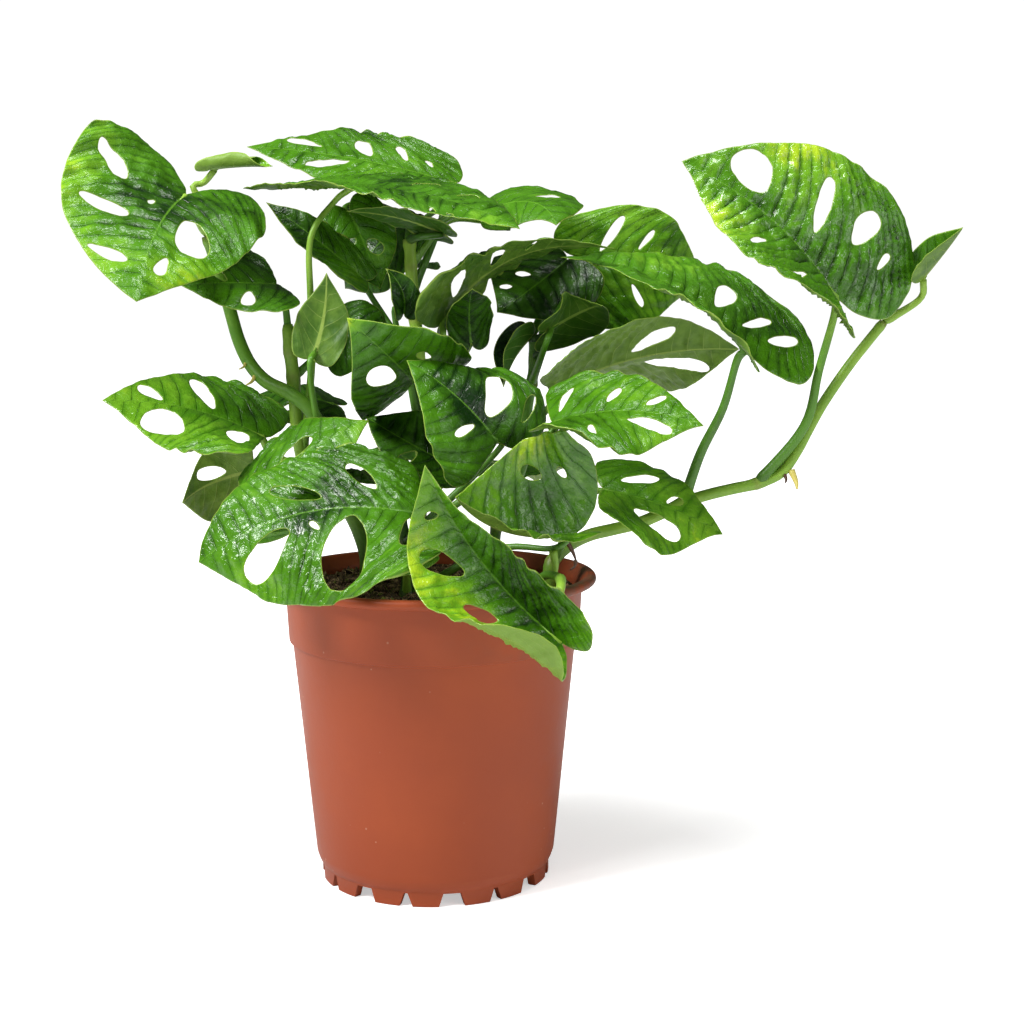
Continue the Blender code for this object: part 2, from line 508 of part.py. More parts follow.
def build_soil():
    earth = make_material("soil_peat", (0.035, 0.02, 0.012), 0.95)
    low = FLOOR_TOP + GAP + 0.1
    profile = [
        (0, low), (wall_inside(low) - GAP - 0.4, low),
        (wall_inside(COLLAR_FOOT - 1) - GAP - 0.6, COLLAR_FOOT - 1),
        (COLLAR_FOOT_RADIUS - WALL - GAP - 0.2, COLLAR_FOOT + 2.5),
        (COLLAR_TOP_RADIUS - WALL - GAP - 0.6, SOIL_TOP - 2),
        (70, SOIL_TOP), (45, SOIL_TOP + SOIL_MOUND), (0, SOIL_TOP + SOIL_MOUND / 2)]
    soil = revolve("soil", profile, POT_SIDES, earth)
    holes = []
    for name, stem in STEMS.items():
        x, y, low = stem_foot(stem)
        holes.append(cylinder(name + "_hole", x, y, low - GAP, POT_HEIGHT, stem["radius"][0] + GAP))
    apply_boolean(soil, holes, "DIFFERENCE")
    return soil


class Blade:
    """The curved surface of one leaf: along runs 0 to 1 from base to tip, out
    is the distance from the rib in millimetres, positive to the left."""

    def __init__(self, leaf):
        self.leaf = leaf
        self.base = np.array(leaf["base"], float)
        self.chord = np.array(leaf["tip"], float) - self.base
        span = np.linalg.norm(self.chord)
        turn, tilt = (math.radians(v) for v in leaf["face"])
        face = np.array([math.sin(turn) * math.cos(tilt), -math.cos(turn) * math.cos(tilt), math.sin(tilt)])
        forward = self.chord / span
        self.up = unit(face - face.dot(forward) * forward)
        self.side = np.cross(self.up, forward)
        self.length = span * (1 + 8 / 3 * (leaf["arch"] ** 2 + leaf["bow"] ** 2) / span ** 2)

    def points(self, along, out):
        along, out = np.asarray(along, float), np.asarray(out, float)
        ahead = np.maximum(along, 0)[:, None]
        rise = self.up * self.leaf["arch"] + self.side * self.leaf["bow"]
        bend = np.where(along[:, None] > 0, 4 * ahead * (1 - ahead), 4 * along[:, None])
        rib = self.base + self.chord * along[:, None] + bend * rise
        forward = self.chord + rise * 4 * (1 - 2 * ahead)
        forward /= np.linalg.norm(forward, axis=1)[:, None]
        up = self.up - (forward @ self.up)[:, None] * forward
        up /= np.linalg.norm(up, axis=1)[:, None]
        side = np.cross(up, forward)
        which = (out < 0).astype(int)
        ahead = ahead[:, 0]
        width = np.array(self.leaf["width"], float)[which]
        fold, curl = (np.radians(np.array(self.leaf[key], float)[which]) for key in ("fold", "curl"))
        fold = fold[:, 0] + (fold[:, 1] - fold[:, 0]) * ahead
        curl = curl[:, 0] + (curl[:, 1] - curl[:, 0]) * ahead
        curl = np.where(np.abs(curl) < 0.001, 0.001, curl)
        turned = fold + curl * np.abs(out) / width
        across = width / curl * (np.sin(turned) - np.sin(fold)) * np.where(out < 0, -1, 1)
        lift = -width / curl * (np.cos(turned) - np.cos(fold))
        return rib + side * across[:, None] + up * lift[:, None]

    def normals(self, along, out):
        step = 0.5
        share = step / self.length
        run = self.points(along + share, out) - self.points(along - share, out)
        cross = self.points(along, out + step) - self.points(along, out - step)
        normal = np.cross(run, cross)
        return normal / np.linalg.norm(normal, axis=1)[:, None]

    def outline(self, per_span):
        sides = []
        for k in (0, 1):
            lobe, broad, point = self.leaf["lobe"][k], self.leaf["broad"][k], self.leaf["point"]
            margin = smooth_path([
                (0, 0), (-0.55 * lobe, 0.10), (-lobe, 0.36), (-0.62 * lobe, 0.74), (broad * 0.42, 0.96),
                (broad + 0.06, 1), (0.42 + 0.5 * broad, 0.86), (0.70 + 0.2 * broad, 0.53 - 0.1 * point),
                (0.92, 0.17 - 0.07 * point), (1, 0)], per_span)
            margin[:, 1] *= self.leaf["width"][k] * (1, -1)[k]
            sides.append(margin)
        return np.vstack([sides[1][:-1], sides[0][:0:-1]])

    def hole(self, spec):
        side, along, out, length, width, slant = spec
        count = 6 if length < 10 else 8
        angle = np.linspace(0, 2 * math.pi, count, endpoint=False)
        u = length / 2 * np.cos(angle)
        v = width / 2 * np.sin(angle) * (1 + 0.25 * np.cos(angle))
        slant = math.radians(slant)
        x = along * self.length + u * math.cos(slant) - v * math.sin(slant)
        y = out * self.leaf["width"][0 if side == LEFT else 1] + u * math.sin(slant) + v * math.cos(slant)
        loop = np.stack([x / self.length, y * side], 1)
        return loop if side == LEFT else loop[::-1]


def inside(point, loop):
    """True where a flat point lies in a closed loop."""
    x, y = point
    found = False
    for (x0, y0), (x1, y1) in zip(loop, np.roll(loop, -1, axis=0)):
        if (y0 > y) != (y1 > y) and x < (x1 - x0) * (y - y0) / (y1 - y0) + x0:
            found = not found
    return found


def distance_to(point, loop):
    ends = np.roll(loop, -1, axis=0) - loop
    share = np.clip(((point - loop) * ends).sum(1) / np.maximum((ends * ends).sum(1), 1e-9), 0, 1)
    return np.linalg.norm(loop + ends * share[:, None] - point, axis=1).min()


def build_leaf(name, leaf, material):
    """A thin closed solid: the leaf's outline and holes cut into triangles that
    are alike on both faces, laid on its curved surface."""
    blade = Blade(leaf)
    flat = np.array([blade.length, 1.0])
    loops = [blade.outline(2) * flat] + [blade.hole(spec) * flat for spec in leaf["holes"]]
    rim = loops[0]
    inner = [np.array([x, 0.0]) for x in np.arange(GRID, blade.length - GRID / 2, GRID)]
    for x in np.arange(-GRID, blade.length, GRID):
        for y in np.arange(-5, 6) * GRID:
            if y:
                inner.append(np.array([x + (GRID / 2 if round(y / GRID) % 2 else 0), y]))
    clear = GRID * 0.42
    inner = [p for p in inner if inside(p, rim) and min(distance_to(p, loop) for loop in loops) > clear
             and not any(inside(p, loop) for loop in loops[1:])]
    points, edges = [], []
    for loop in loops:
        first = len(points)
        points += [Vector(p) for p in loop]
        edges += [(first + k, first + (k + 1) % len(loop)) for k in range(len(loop))]
    points += [Vector(p) for p in inner]
    flat_points, _, faces, *_ = delaunay_2d_cdt(points, edges, [], 1, 1e-5)
    plan = np.array([tuple(p) for p in flat_points])
    triangles = []
    for face in faces:
        centre = plan[list(face)].mean(0)
        if inside(centre, rim) and not any(inside(centre, loop) for loop in loops[1:]):
            triangles.append(list(face))
    along, out = plan[:, 0] / blade.length, plan[:, 1]
    middle, normal = blade.points(along, out), blade.normals(along, out)
    solid_points = np.vstack([middle + normal * BLADE / 2, middle - normal * BLADE / 2])
    count = len(plan)
    used = {}
    for a, b, c in triangles:
        for edge in ((a, b), (b, c), (c, a)):
            used[edge] = True
    solid_faces = [t for t in triangles] + [[c + count, b + count, a + count] for a, b, c in triangles]
    for a, b in used:
        if (b, a) not in used:
            solid_faces += [[b, a, a + count], [b, a + count, b + count]]
    return make_object("leaf_" + name, [tuple(p) for p in solid_points], solid_faces, material)


def tube(name, path, radii, sides, material=None):
    """A closed tube along a path, with flat caps."""
    path = np.array(path, float)
    count = len(path)
    forward = np.gradient(path, axis=0)
    forward /= np.linalg.norm(forward, axis=1)[:, None]
    across = unit(np.cross(forward[0], (0.31, 0.95, 0.05)))
    points = []
    for k in range(count):
        across = unit(across - across.dot(forward[k]) * forward[k])
        other = np.cross(forward[k], across)
        radius = radii[0] + (radii[1] - radii[0]) * k / (count - 1)
        for s in range(sides):
            angle = 2 * math.pi * s / sides
            points.append(tuple(path[k] + radius * (across * math.cos(angle) + other * math.sin(angle))))
    faces = [list(range(sides))[::-1], list(range((count - 1) * sides, count * sides))]
    for k in range(count - 1):
        for s in range(sides):
            n = (s + 1) % sides
            faces.append([k * sides + s, k * sides + n, (k + 1) * sides + n, (k + 1) * sides + s])
    return make_object(name, points, faces, material)


def evenly(path, step):
    """Points at even distances along a path."""
    path = np.array(path, float)
    run = np.concatenate([[0], np.cumsum(np.linalg.norm(np.diff(path, axis=0), axis=1))])
    count = max(3, int(round(run[-1] / step)) + 1)
    want = np.linspace(0, run[-1], count)
    return np.stack([np.interp(want, run, path[:, k]) for k in range(3)], 1)


def stem_foot(stem):
    """Where the stem's straight foot stands in its hole in the soil."""
    x, y, _ = stem["points"][0]
    return x, y, SOIL_TOP - STEM_DEPTH


def stem_path(stem):
    x, y, low = stem_foot(stem)
    rise = smooth_path([(x, y, SOIL_TOP + SOIL_MOUND + 2)] + list(stem["points"]), 6)
    return np.vstack([[(x, y, low)], evenly(rise, STEM_STEP)])


def petiole_path(stem, leaf_name, share, via, lean=9):
    blade = Blade(LEAVES[leaf_name])
    base = blade.points([0], [0])[0]
    ahead = unit(blade.points([0.03], [0])[0] - base)
    up = blade.normals(np.array([0.0]), np.array([0.0]))[0]
    end = base - up * (BLADE / 2 + PETIOLE_RADIUS[1] + GAP) + ahead * 2
    path = stem_path(stem)
    start = path[1 + int(round(share * (len(path) - 2)))]
    heading = unit(end - (via[-1] if via else start))
    approach = end - ahead * (lean if heading.dot(ahead) > -0.2 else -lean) - up * 6
    return evenly(smooth_path([start, *via, approach, end], 6), PETIOLE_STEP)


def build_stem(name, stem):
    green = make_material(name + "_skin", (0.16, 0.33, 0.06), 0.45)
    body = tube(name, stem_path(stem), stem["radius"], STEM_SIDES, green)
    petioles = [tube(f"{name}_{leaf}", petiole_path(stem, leaf, *rest), PETIOLE_RADIUS, PETIOLE_SIDES)
                for leaf, *rest in stem["petioles"]]
    apply_boolean(body, petioles, "UNION")
    return body


def build():
    clear_scene()
    build_pot()
    build_soil()
    for name, stem in STEMS.items():
        build_stem(name, stem)
    for name, leaf in LEAVES.items():
        build_leaf(name, leaf, make_material("leaf_" + name + "_skin", (0.05, 0.22, 0.02), 0.35))
    for item in bpy.data.objects:
        item.data.shade_smooth()
        item.data.set_sharp_from_angle(angle=math.radians(40))


build()
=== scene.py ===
import math

import bpy
import numpy as np
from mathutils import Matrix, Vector
from mathutils.geometry import delaunay_2d_cdt


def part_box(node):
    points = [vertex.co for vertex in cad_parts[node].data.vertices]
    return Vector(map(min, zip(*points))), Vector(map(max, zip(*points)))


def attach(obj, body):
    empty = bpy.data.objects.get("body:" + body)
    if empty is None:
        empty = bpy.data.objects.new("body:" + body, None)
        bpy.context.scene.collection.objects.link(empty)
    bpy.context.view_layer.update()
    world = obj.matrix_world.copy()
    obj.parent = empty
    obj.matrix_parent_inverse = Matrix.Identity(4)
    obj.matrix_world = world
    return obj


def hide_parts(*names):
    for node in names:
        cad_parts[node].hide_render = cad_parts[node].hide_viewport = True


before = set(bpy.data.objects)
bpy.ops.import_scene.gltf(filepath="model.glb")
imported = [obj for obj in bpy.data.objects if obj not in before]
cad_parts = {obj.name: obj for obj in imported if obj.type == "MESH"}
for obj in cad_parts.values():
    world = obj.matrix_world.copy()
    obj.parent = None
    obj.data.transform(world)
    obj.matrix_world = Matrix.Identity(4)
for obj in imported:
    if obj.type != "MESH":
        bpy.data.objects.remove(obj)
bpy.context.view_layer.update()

potLow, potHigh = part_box("pot")
mm = 0.001
axisPlace = np.array([(potLow[0] + potHigh[0]) / 2, (potLow[1] + potHigh[1]) / 2, 0.0])  # the pot's axis
left, right = 1, -1
fullTurn = 2 * math.pi
print("frame loaded")


# Small tools for paths, meshes and noise. All lengths are millimetres about the pot's axis.

rippleForm = {"octaves": 4, "turn": 6.28, "finer": 1.7, "fainter": 1.4}
tubeAcross = (0.31, 0.95, 0.05)  # no tube starts in this direction


def smoothPath(points, perSpan):
    route = np.array(points, float)
    route = np.vstack([2 * route[0] - route[1], route, 2 * route[-1] - route[-2]])
    path = []
    for i in range(1, len(route) - 2):
        a, b, c, d = route[i - 1:i + 3]
        for step in range(perSpan):
            t = step / perSpan
            path.append(0.5 * (2 * b + (c - a) * t + (2 * a - 5 * b + 4 * c - d) * t * t
                               + (3 * b - a - 3 * c + d) * t ** 3))
    path.append(route[-2])
    return np.array(path)


def unit(vector):
    return vector / np.linalg.norm(vector)


def evenly(path, step, least=3):
    path = np.array(path, float)
    run = np.concatenate([[0], np.cumsum(np.linalg.norm(np.diff(path, axis=0), axis=1))])
    count = max(least, int(round(run[-1] / step)) + 1)
    want = np.linspace(0, run[-1], count)
    return np.stack([np.interp(want, run, path[:, k]) for k in range(path.shape[1])], 1)


def blend(pair, share):
    # from the pair's first value to its second
    return pair[0] + (pair[1] - pair[0]) * share


def bell(distance, reach):
    return np.exp(-(distance / reach) ** 2)


def ripple(points, seed, size):
    # a soft wandering value from -1 to 1 over places in millimetres
    form = rippleForm
    draw = np.random.default_rng(seed)
    total = np.zeros(len(points))
    for octave in range(form["octaves"]):
        ways = draw.normal(size=(3, 3))
        ways /= np.linalg.norm(ways, axis=1)[:, None]
        shifts = draw.uniform(0, form["turn"], 3)
        length = size / form["finer"] ** octave
        waves = [np.sin(points @ way * form["turn"] / length + shift) for way, shift in zip(ways, shifts)]
        total += np.prod(waves, axis=0) / form["fainter"] ** octave
    return np.clip(total, -1, 1)


def addToScene(thing):
    bpy.context.scene.collection.objects.link(thing)


def makePiece(name, points, faces, materials, replaced, values, faceKinds=None):
    mesh = bpy.data.meshes.new(name)
    mesh.from_pydata((np.asarray(points) * mm + axisPlace).tolist(), [], [list(f) for f in faces])
    for material in materials:
        mesh.materials.append(material)
    if faceKinds is not None:
        mesh.polygons.foreach_set("material_index", np.asarray(faceKinds, np.int32))
    for key, numbers in values.items():
        mesh.attributes.new(key, "FLOAT", "POINT").data.foreach_set("value", np.asarray(numbers, np.float32))
    mesh.shade_smooth()
    piece = bpy.data.objects.new(name, mesh)
    addToScene(piece)
    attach(piece, "root")
    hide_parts(*replaced)
    return piece


def ringFaces(starts, count):
    # four-sided faces between closed rings of points that begin at the given numbers
    return [[low + k, low + (k + 1) % count, high + (k + 1) % count, high + k]
            for low, high in zip(starts, starts[1:]) for k in range(count)]


def tubeMesh(path, radii, sides):
    # a closed tube whose radius follows a list, one for each point of the path
    path = np.array(path, float)
    count = len(path)
    forward = np.gradient(path, axis=0)
    forward /= np.maximum(np.linalg.norm(forward, axis=1), 1e-9)[:, None]
    across = unit(np.cross(forward[0], tubeAcross))
    points = []
    for k in range(count):
        across = unit(across - across.dot(forward[k]) * forward[k])
        other = np.cross(forward[k], across)
        for s in range(sides):
            angle = fullTurn * s / sides
            points.append(path[k] + radii[k] * (across * math.cos(angle) + other * math.sin(angle)))
    faces = [list(range(sides))[::-1], list(range((count - 1) * sides, count * sides))]
    return np.array(points), faces + ringFaces(range(0, count * sides, sides), sides)


class Heap:
    # gathers many small shapes into one mesh
    def __init__(self):
        self.points, self.faces, self.values, self.count = [], [], {}, 0

    def add(self, points, faces, **values):
        self.faces += [[i + self.count for i in face] for face in faces]
        self.points.append(np.asarray(points, float))
        self.count += len(points)
        for key, number in values.items():
            self.values.setdefault(key, []).append(np.broadcast_to(np.asarray(number, float), len(points)))

    def make(self, name, materials, replaced):
        values = {key: np.concatenate(parts) for key, parts in self.values.items()}
        return makePiece(name, np.vstack(self.points), self.faces, materials, replaced, values)


# Node groups and materials.

class Graph:
    # short ways to place and join shader nodes
    def __init__(self, tree):
        self.tree = tree

    def node(self, kind, **settings):
        item = self.tree.nodes.new(kind)
        for key, value in settings.items():
            setattr(item, key, value)
        return item

    def feed(self, socket, value):
        if isinstance(value, bpy.types.NodeSocket):
            self.tree.links.new(value, socket)
        else:
            socket.default_value = value

    def math(self, operation, *values):
        item = self.node("ShaderNodeMath", operation=operation)
        for socket, value in zip(item.inputs, values):
            self.feed(socket, value)
        return item.outputs[0]

    def total(self, *parts):
        # the sum of (value, share) pairs
        result = None
        for value, share in parts:
            scaled = self.math("MULTIPLY", value, share)
            result = scaled if result is None else self.math("ADD", result, scaled)
        return result

    def centred(self, value):
        return self.math("SUBTRACT", value, 0.5)

    def ramp(self, value, low, high, start=0.0, end=1.0):
        item = self.node("ShaderNodeMapRange", interpolation_type="SMOOTHSTEP")
        for socket, number in zip(item.inputs, (value, low, high, start, end)):
            self.feed(socket, number)
        return item.outputs[0]

    def mix(self, share, first, second):
        item = self.node("ShaderNodeMix", data_type="RGBA")
        self.feed(item.inputs[0], share)
        for socket, value in ((item.inputs[6], first), (item.inputs[7], second)):
            self.feed(socket, (*value, 1.0) if isinstance(value, tuple) else value)
        return item.outputs[2]

    def steps(self, shade, colour, *steps):
        # from one colour to the next as the shade passes each (low, high)
        for limits, tint in steps:
            colour = self.mix(self.ramp(shade, *limits), colour, tint)
        return colour

    def coats(self, colour, *coats):
        # a (mask, share, colour) over what is there
        for mask, share, tint in coats:
            colour = self.mix(self.math("MULTIPLY", mask, share), colour, tint)
        return colour

    def noise(self, scale, detail, place, roughness=0.55):
        item = self.node("ShaderNodeTexNoise")
        for key, value in (("Scale", scale), ("Detail", detail), ("Roughness", roughness), ("Vector", place)):
            self.feed(item.inputs[key], value)
        return item.outputs[0]

    def cells(self, kind, scale):
        # the distance to the edge or to the centre of scattered cells
        item = self.node("ShaderNodeTexVoronoi", feature=kind)
        self.feed(item.inputs["Scale"], scale)
        self.feed(item.inputs["Vector"], self.place())
        return item.outputs["Distance"]

    def place(self):
        return self.node("ShaderNodeTexCoord").outputs["Object"]

    def attribute(self, name):
        return self.node("ShaderNodeAttribute", attribute_name=name).outputs["Fac"]

    def bump(self, shader, strength, distance, height):
        item = self.node("ShaderNodeBump")
        item.inputs["Strength"].default_value = strength
        item.inputs["Distance"].default_value = distance
        self.feed(item.inputs["Height"], height)
        self.feed(shader.inputs["Normal"], item.outputs[0])
        return item.outputs[0]


def startGroup(name, inputs, outputs):
    tree = bpy.data.node_groups.new(name, "ShaderNodeTree")
    for label, default in inputs.items():
        socket = tree.interface.new_socket(label, in_out="INPUT", socket_type="NodeSocketFloat")
        socket.default_value = default
    for label in outputs:
        tree.interface.new_socket(label, in_out="OUTPUT", socket_type="NodeSocketFloat")
    graph = Graph(tree)
    return graph, graph.node("NodeGroupInput").outputs, graph.node("NodeGroupOutput").inputs


def placeGroup(graph, tree, **values):
    item = graph.node("ShaderNodeGroup", node_tree=tree)
    for key, value in values.items():
        graph.feed(item.inputs[key.replace("_", " ")], value)
    return item.outputs


def startMaterial(name, roughness, **settings):
    material = bpy.data.materials.new(name)
    material.use_nodes = True
    shader = material.node_tree.nodes["Principled BSDF"]
    shader.inputs["Roughness"].default_value = roughness
    for key, value in settings.items():
        shader.inputs[key.replace("_", " ")].default_value = value
    return material, Graph(material.node_tree), shader


def mottleGroup():
    # two sizes of soft blotches and a fine grain, for any living or moulded surface
    graph, given, result = startGroup("mottle", {"Blotch": 60.0, "Grain": 900.0}, ["Soft", "Fine"])
    place = graph.place()
    graph.feed(result["Soft"], graph.noise(given["Blotch"], 4.0, place))
    graph.feed(result["Fine"], graph.noise(given["Grain"], 2.0, place, 0.6))
    return graph.tree


veinLook = {"wander": 0.16, "wanderScale": 90.0, "netScale": 420.0,
            "rimFade": (0.5, 7.0, 0.35, 1.0), "ribTaper": (0.0, 1.0, 1.25, 0.35),
            # where each mask ends: from full at the first number to nothing at the second
            "ribEdge": (0.55, 1.1), "veinEdge": (0.3, 1.2), "nearVein": (0.0, 0.30), "marginEdge": (0.5, 1.1),
            "netEdge": (0.02, 0.16)}


def veinGroup():
    # masks for a leaf's midrib, side veins and margin from the values on its mesh
    look = veinLook
    graph, given, result = startGroup(
        "leafVeins", {"Vein Width": 0.05, "Rib Width": 1.0, "Margin Width": 0.7},
        ["Rib", "Vein", "Near Vein", "Margin", "Net"])
    along, rim = graph.attribute("along"), graph.attribute("rimDistance")
    wander = graph.centred(graph.noise(look["wanderScale"], 2.0, graph.place()))
    turned = graph.total((graph.attribute("veinPhase"), 1.0), (wander, look["wander"]))
    away = graph.math("ABSOLUTE", graph.centred(graph.math("FRACT", turned)))
    away = graph.math("SUBTRACT", 0.5, away)
    veinWidth = graph.math("MULTIPLY", given["Vein Width"], graph.ramp(rim, *look["rimFade"]))
    ribWidth = graph.math("MULTIPLY", given["Rib Width"], graph.ramp(along, *look["ribTaper"]))
    # Near Vein serves only the painted shade beside the side veins
    masks = {"Rib": (graph.math("DIVIDE", graph.attribute("ribOut"), ribWidth), "ribEdge"),
             "Vein": (graph.math("DIVIDE", away, veinWidth), "veinEdge"), "Near Vein": (away, "nearVein"),
             "Margin": (graph.math("DIVIDE", rim, given["Margin Width"]), "marginEdge"),
             "Net": (graph.cells("DISTANCE_TO_EDGE", look["netScale"]), "netEdge")}
    for label, (distance, limits) in masks.items():
        graph.feed(result[label], graph.ramp(distance, *look[limits], 1.0, 0.0))
    return graph.tree


mottle = mottleGroup()
veins = veinGroup()
leafFinish = {
    "dark": (0.003, 0.021, 0.001), "green": (0.052, 0.180, 0.003), "bright": (0.125, 0.315, 0.010),
    # groove, laid over the side veins, is painted shade in their sunken grooves
    "lime": (0.36, 0.53, 0.012), "groove": (0.010, 0.070, 0.004), "rib": (0.12, 0.30, 0.020),
    "margin": (0.33, 0.46, 0.07), "veinShadowShare": 0.16, "ribShare": 0.55, "marginShare": 0.6,
    # lime is partly the leaf's own yellow-green and partly painted light: light shining through the leaf, and
    # highlights
    "greenFrom": (-1.35, 0.15), "brightFrom": (0.05, 0.85), "limeFrom": (0.85, 1.75),
    # how much each pattern moves the shade, and then the height; the near-vein and valley shares darken the
    # colour as painted shade in the hollows
    "softShade": 2.2, "bandShade": 1.1, "fineShade": 0.35, "nearVeinShadowStrength": -0.24, "valleyShadowStrength": -0.32,
    "fineHigh": 0.12, "netHigh": -0.10, "veinHigh": -0.6, "bandHigh": 0.9, "puckerHigh": 0.9,
    "streaks": (1.3, 0.10), "pucker": 170.0, "specular": 0.16, "roughness": 0.40, "rougher": (-0.08, 0.10),
    "coat": 0.40, "coatRoughness": 0.13, "coatPatches": (0.38, 0.6, 0.4, 1.0), "bump": (0.7, 0.0010)}
underFinish = {
    "dark": (0.034, 0.105, 0.006), "pale": (0.17, 0.30, 0.035), "rib": (0.30, 0.42, 0.08),
    "veinShare": 0.4, "ribShare": 0.8, "marginShare": 0.5, "paleFrom": (0.4, 1.55),
    "toneShade": 0.6, "softShade": 1.1, "cloudShade": 0.75, "fineHigh": 0.4, "veinHigh": 0.8,
    "cloudHigh": 1.0, "clouds": 190.0, "specular": 0.3, "roughness": 0.48, "bump": (0.4, 0.0009)}


def leafUpperMaterial():
    look = leafFinish
    material, graph, shader = startMaterial(
        "leafUpper", look["roughness"], Specular_IOR_Level=look["specular"], Coat_Weight=look["coat"],
        Coat_Roughness=look["coatRoughness"])
    masks = placeGroup(graph, veins, Vein_Width=0.05, Rib_Width=0.55, Margin_Width=0.45)
    soft, fine = placeGroup(graph, mottle, Blotch=60.0, Grain=620.0)
    # each band between two side veins has its own shade and light streaks
    streak = graph.node("ShaderNodeCombineXYZ")
    for socket, key, scale in zip(streak.inputs, ("veinPhase", "ribOut"), look["streaks"]):
        graph.feed(socket, graph.math("MULTIPLY", graph.attribute(key), scale))
    bands = graph.noise(1.0, 3.0, streak.outputs[0], 0.6)
    # beside the side veins and in the valleys between swellings the colour turns darker: painted shade of the
    # leaf's relief
    shade = graph.total(
        (graph.attribute("tone"), 1.0), (graph.centred(soft), look["softShade"]),
        (graph.centred(bands), look["bandShade"]), (graph.centred(fine), look["fineShade"]),
        (masks["Near Vein"], look["nearVeinShadowStrength"]), (graph.attribute("valleyShadow"), look["valleyShadowStrength"]))
    colour = graph.steps(shade, look["dark"], (look["greenFrom"], look["green"]),
                         (look["brightFrom"], look["bright"]), (look["limeFrom"], look["lime"]))
    # the groove colour over the side veins is painted shade in their sunken grooves
    graph.feed(shader.inputs["Base Color"], graph.coats(
        colour, (masks["Vein"], look["veinShadowShare"], look["groove"]),
        (masks["Rib"], look["ribShare"], look["rib"]),
        (masks["Margin"], look["marginShare"], look["margin"])))
    gloss = graph.ramp(soft, 0.35, 0.7, *[look["roughness"] + more for more in look["rougher"]])
    graph.feed(shader.inputs["Roughness"], gloss)
    # the wet-looking shine comes in patches and differs from leaf to leaf
    shine = graph.math("MULTIPLY", graph.attribute("shine"), graph.ramp(bands, *look["coatPatches"]))
    graph.feed(shader.inputs["Coat Weight"], shine)
    pucker = graph.noise(look["pucker"], 1.5, graph.place(), 0.4)
    normal = graph.bump(shader, *look["bump"], graph.total(
        (fine, look["fineHigh"]), (masks["Net"], look["netHigh"]), (masks["Vein"], look["veinHigh"]),
        (bands, look["bandHigh"]), (pucker, look["puckerHigh"])))
    graph.feed(shader.inputs["Coat Normal"], normal)
    return material


def leafUnderMaterial():
    look = underFinish
    material, graph, shader = startMaterial(
        "leafUnderside", look["roughness"], Specular_IOR_Level=look["specular"])
    masks = placeGroup(graph, veins, Vein_Width=0.04, Rib_Width=1.1, Margin_Width=0.5)
    soft, fine = placeGroup(graph, mottle, Blotch=70.0, Grain=800.0)
    cloudy = graph.noise(look["clouds"], 3.0, graph.place())
    shade = graph.total((graph.attribute("tone"), look["toneShade"]), (soft, look["softShade"]),
                        (cloudy, look["cloudShade"]))
    colour = graph.steps(shade, look["dark"], (look["paleFrom"], look["pale"]))
    graph.feed(shader.inputs["Base Color"], graph.coats(
        colour, (masks["Vein"], look["veinShare"], look["rib"]),
        (masks["Rib"], look["ribShare"], look["rib"]),
        (masks["Margin"], look["marginShare"], leafFinish["margin"])))
    graph.bump(shader, *look["bump"], graph.total(
        (fine, look["fineHigh"]), (masks["Vein"], look["veinHigh"]), (cloudy, look["cloudHigh"])))
    return material


leafUpper = leafUpperMaterial()
leafUnder = leafUnderMaterial()
print("leaf materials made")


# Leaves. Each rib runs from base to tip, its upper side faces (turned towards +X, tilted up), and width,
# fold, curl, lobe and broad are given for the left and right side. Holes are (side, along the rib, out
# from the rib, length, width, slant). The rest is the look: tone runs from dark (-1) to lime (1), patches
# are (side, along, out, radius, change of tone), and shine is the wet coat. wave (the margin's waving) and
# veinGap (between side veins) replace leafBuild's, and quilt is a share of its swelling between veins.

def leafForm(base, tip, face, width, arch, bow, fold, curl, lobe, broad, point, holes=(), **look):
    return dict(base=base, tip=tip, face=face, width=width, arch=arch, bow=bow, fold=fold, curl=curl,
                lobe=lobe, broad=broad, point=point, holes=holes, **look)


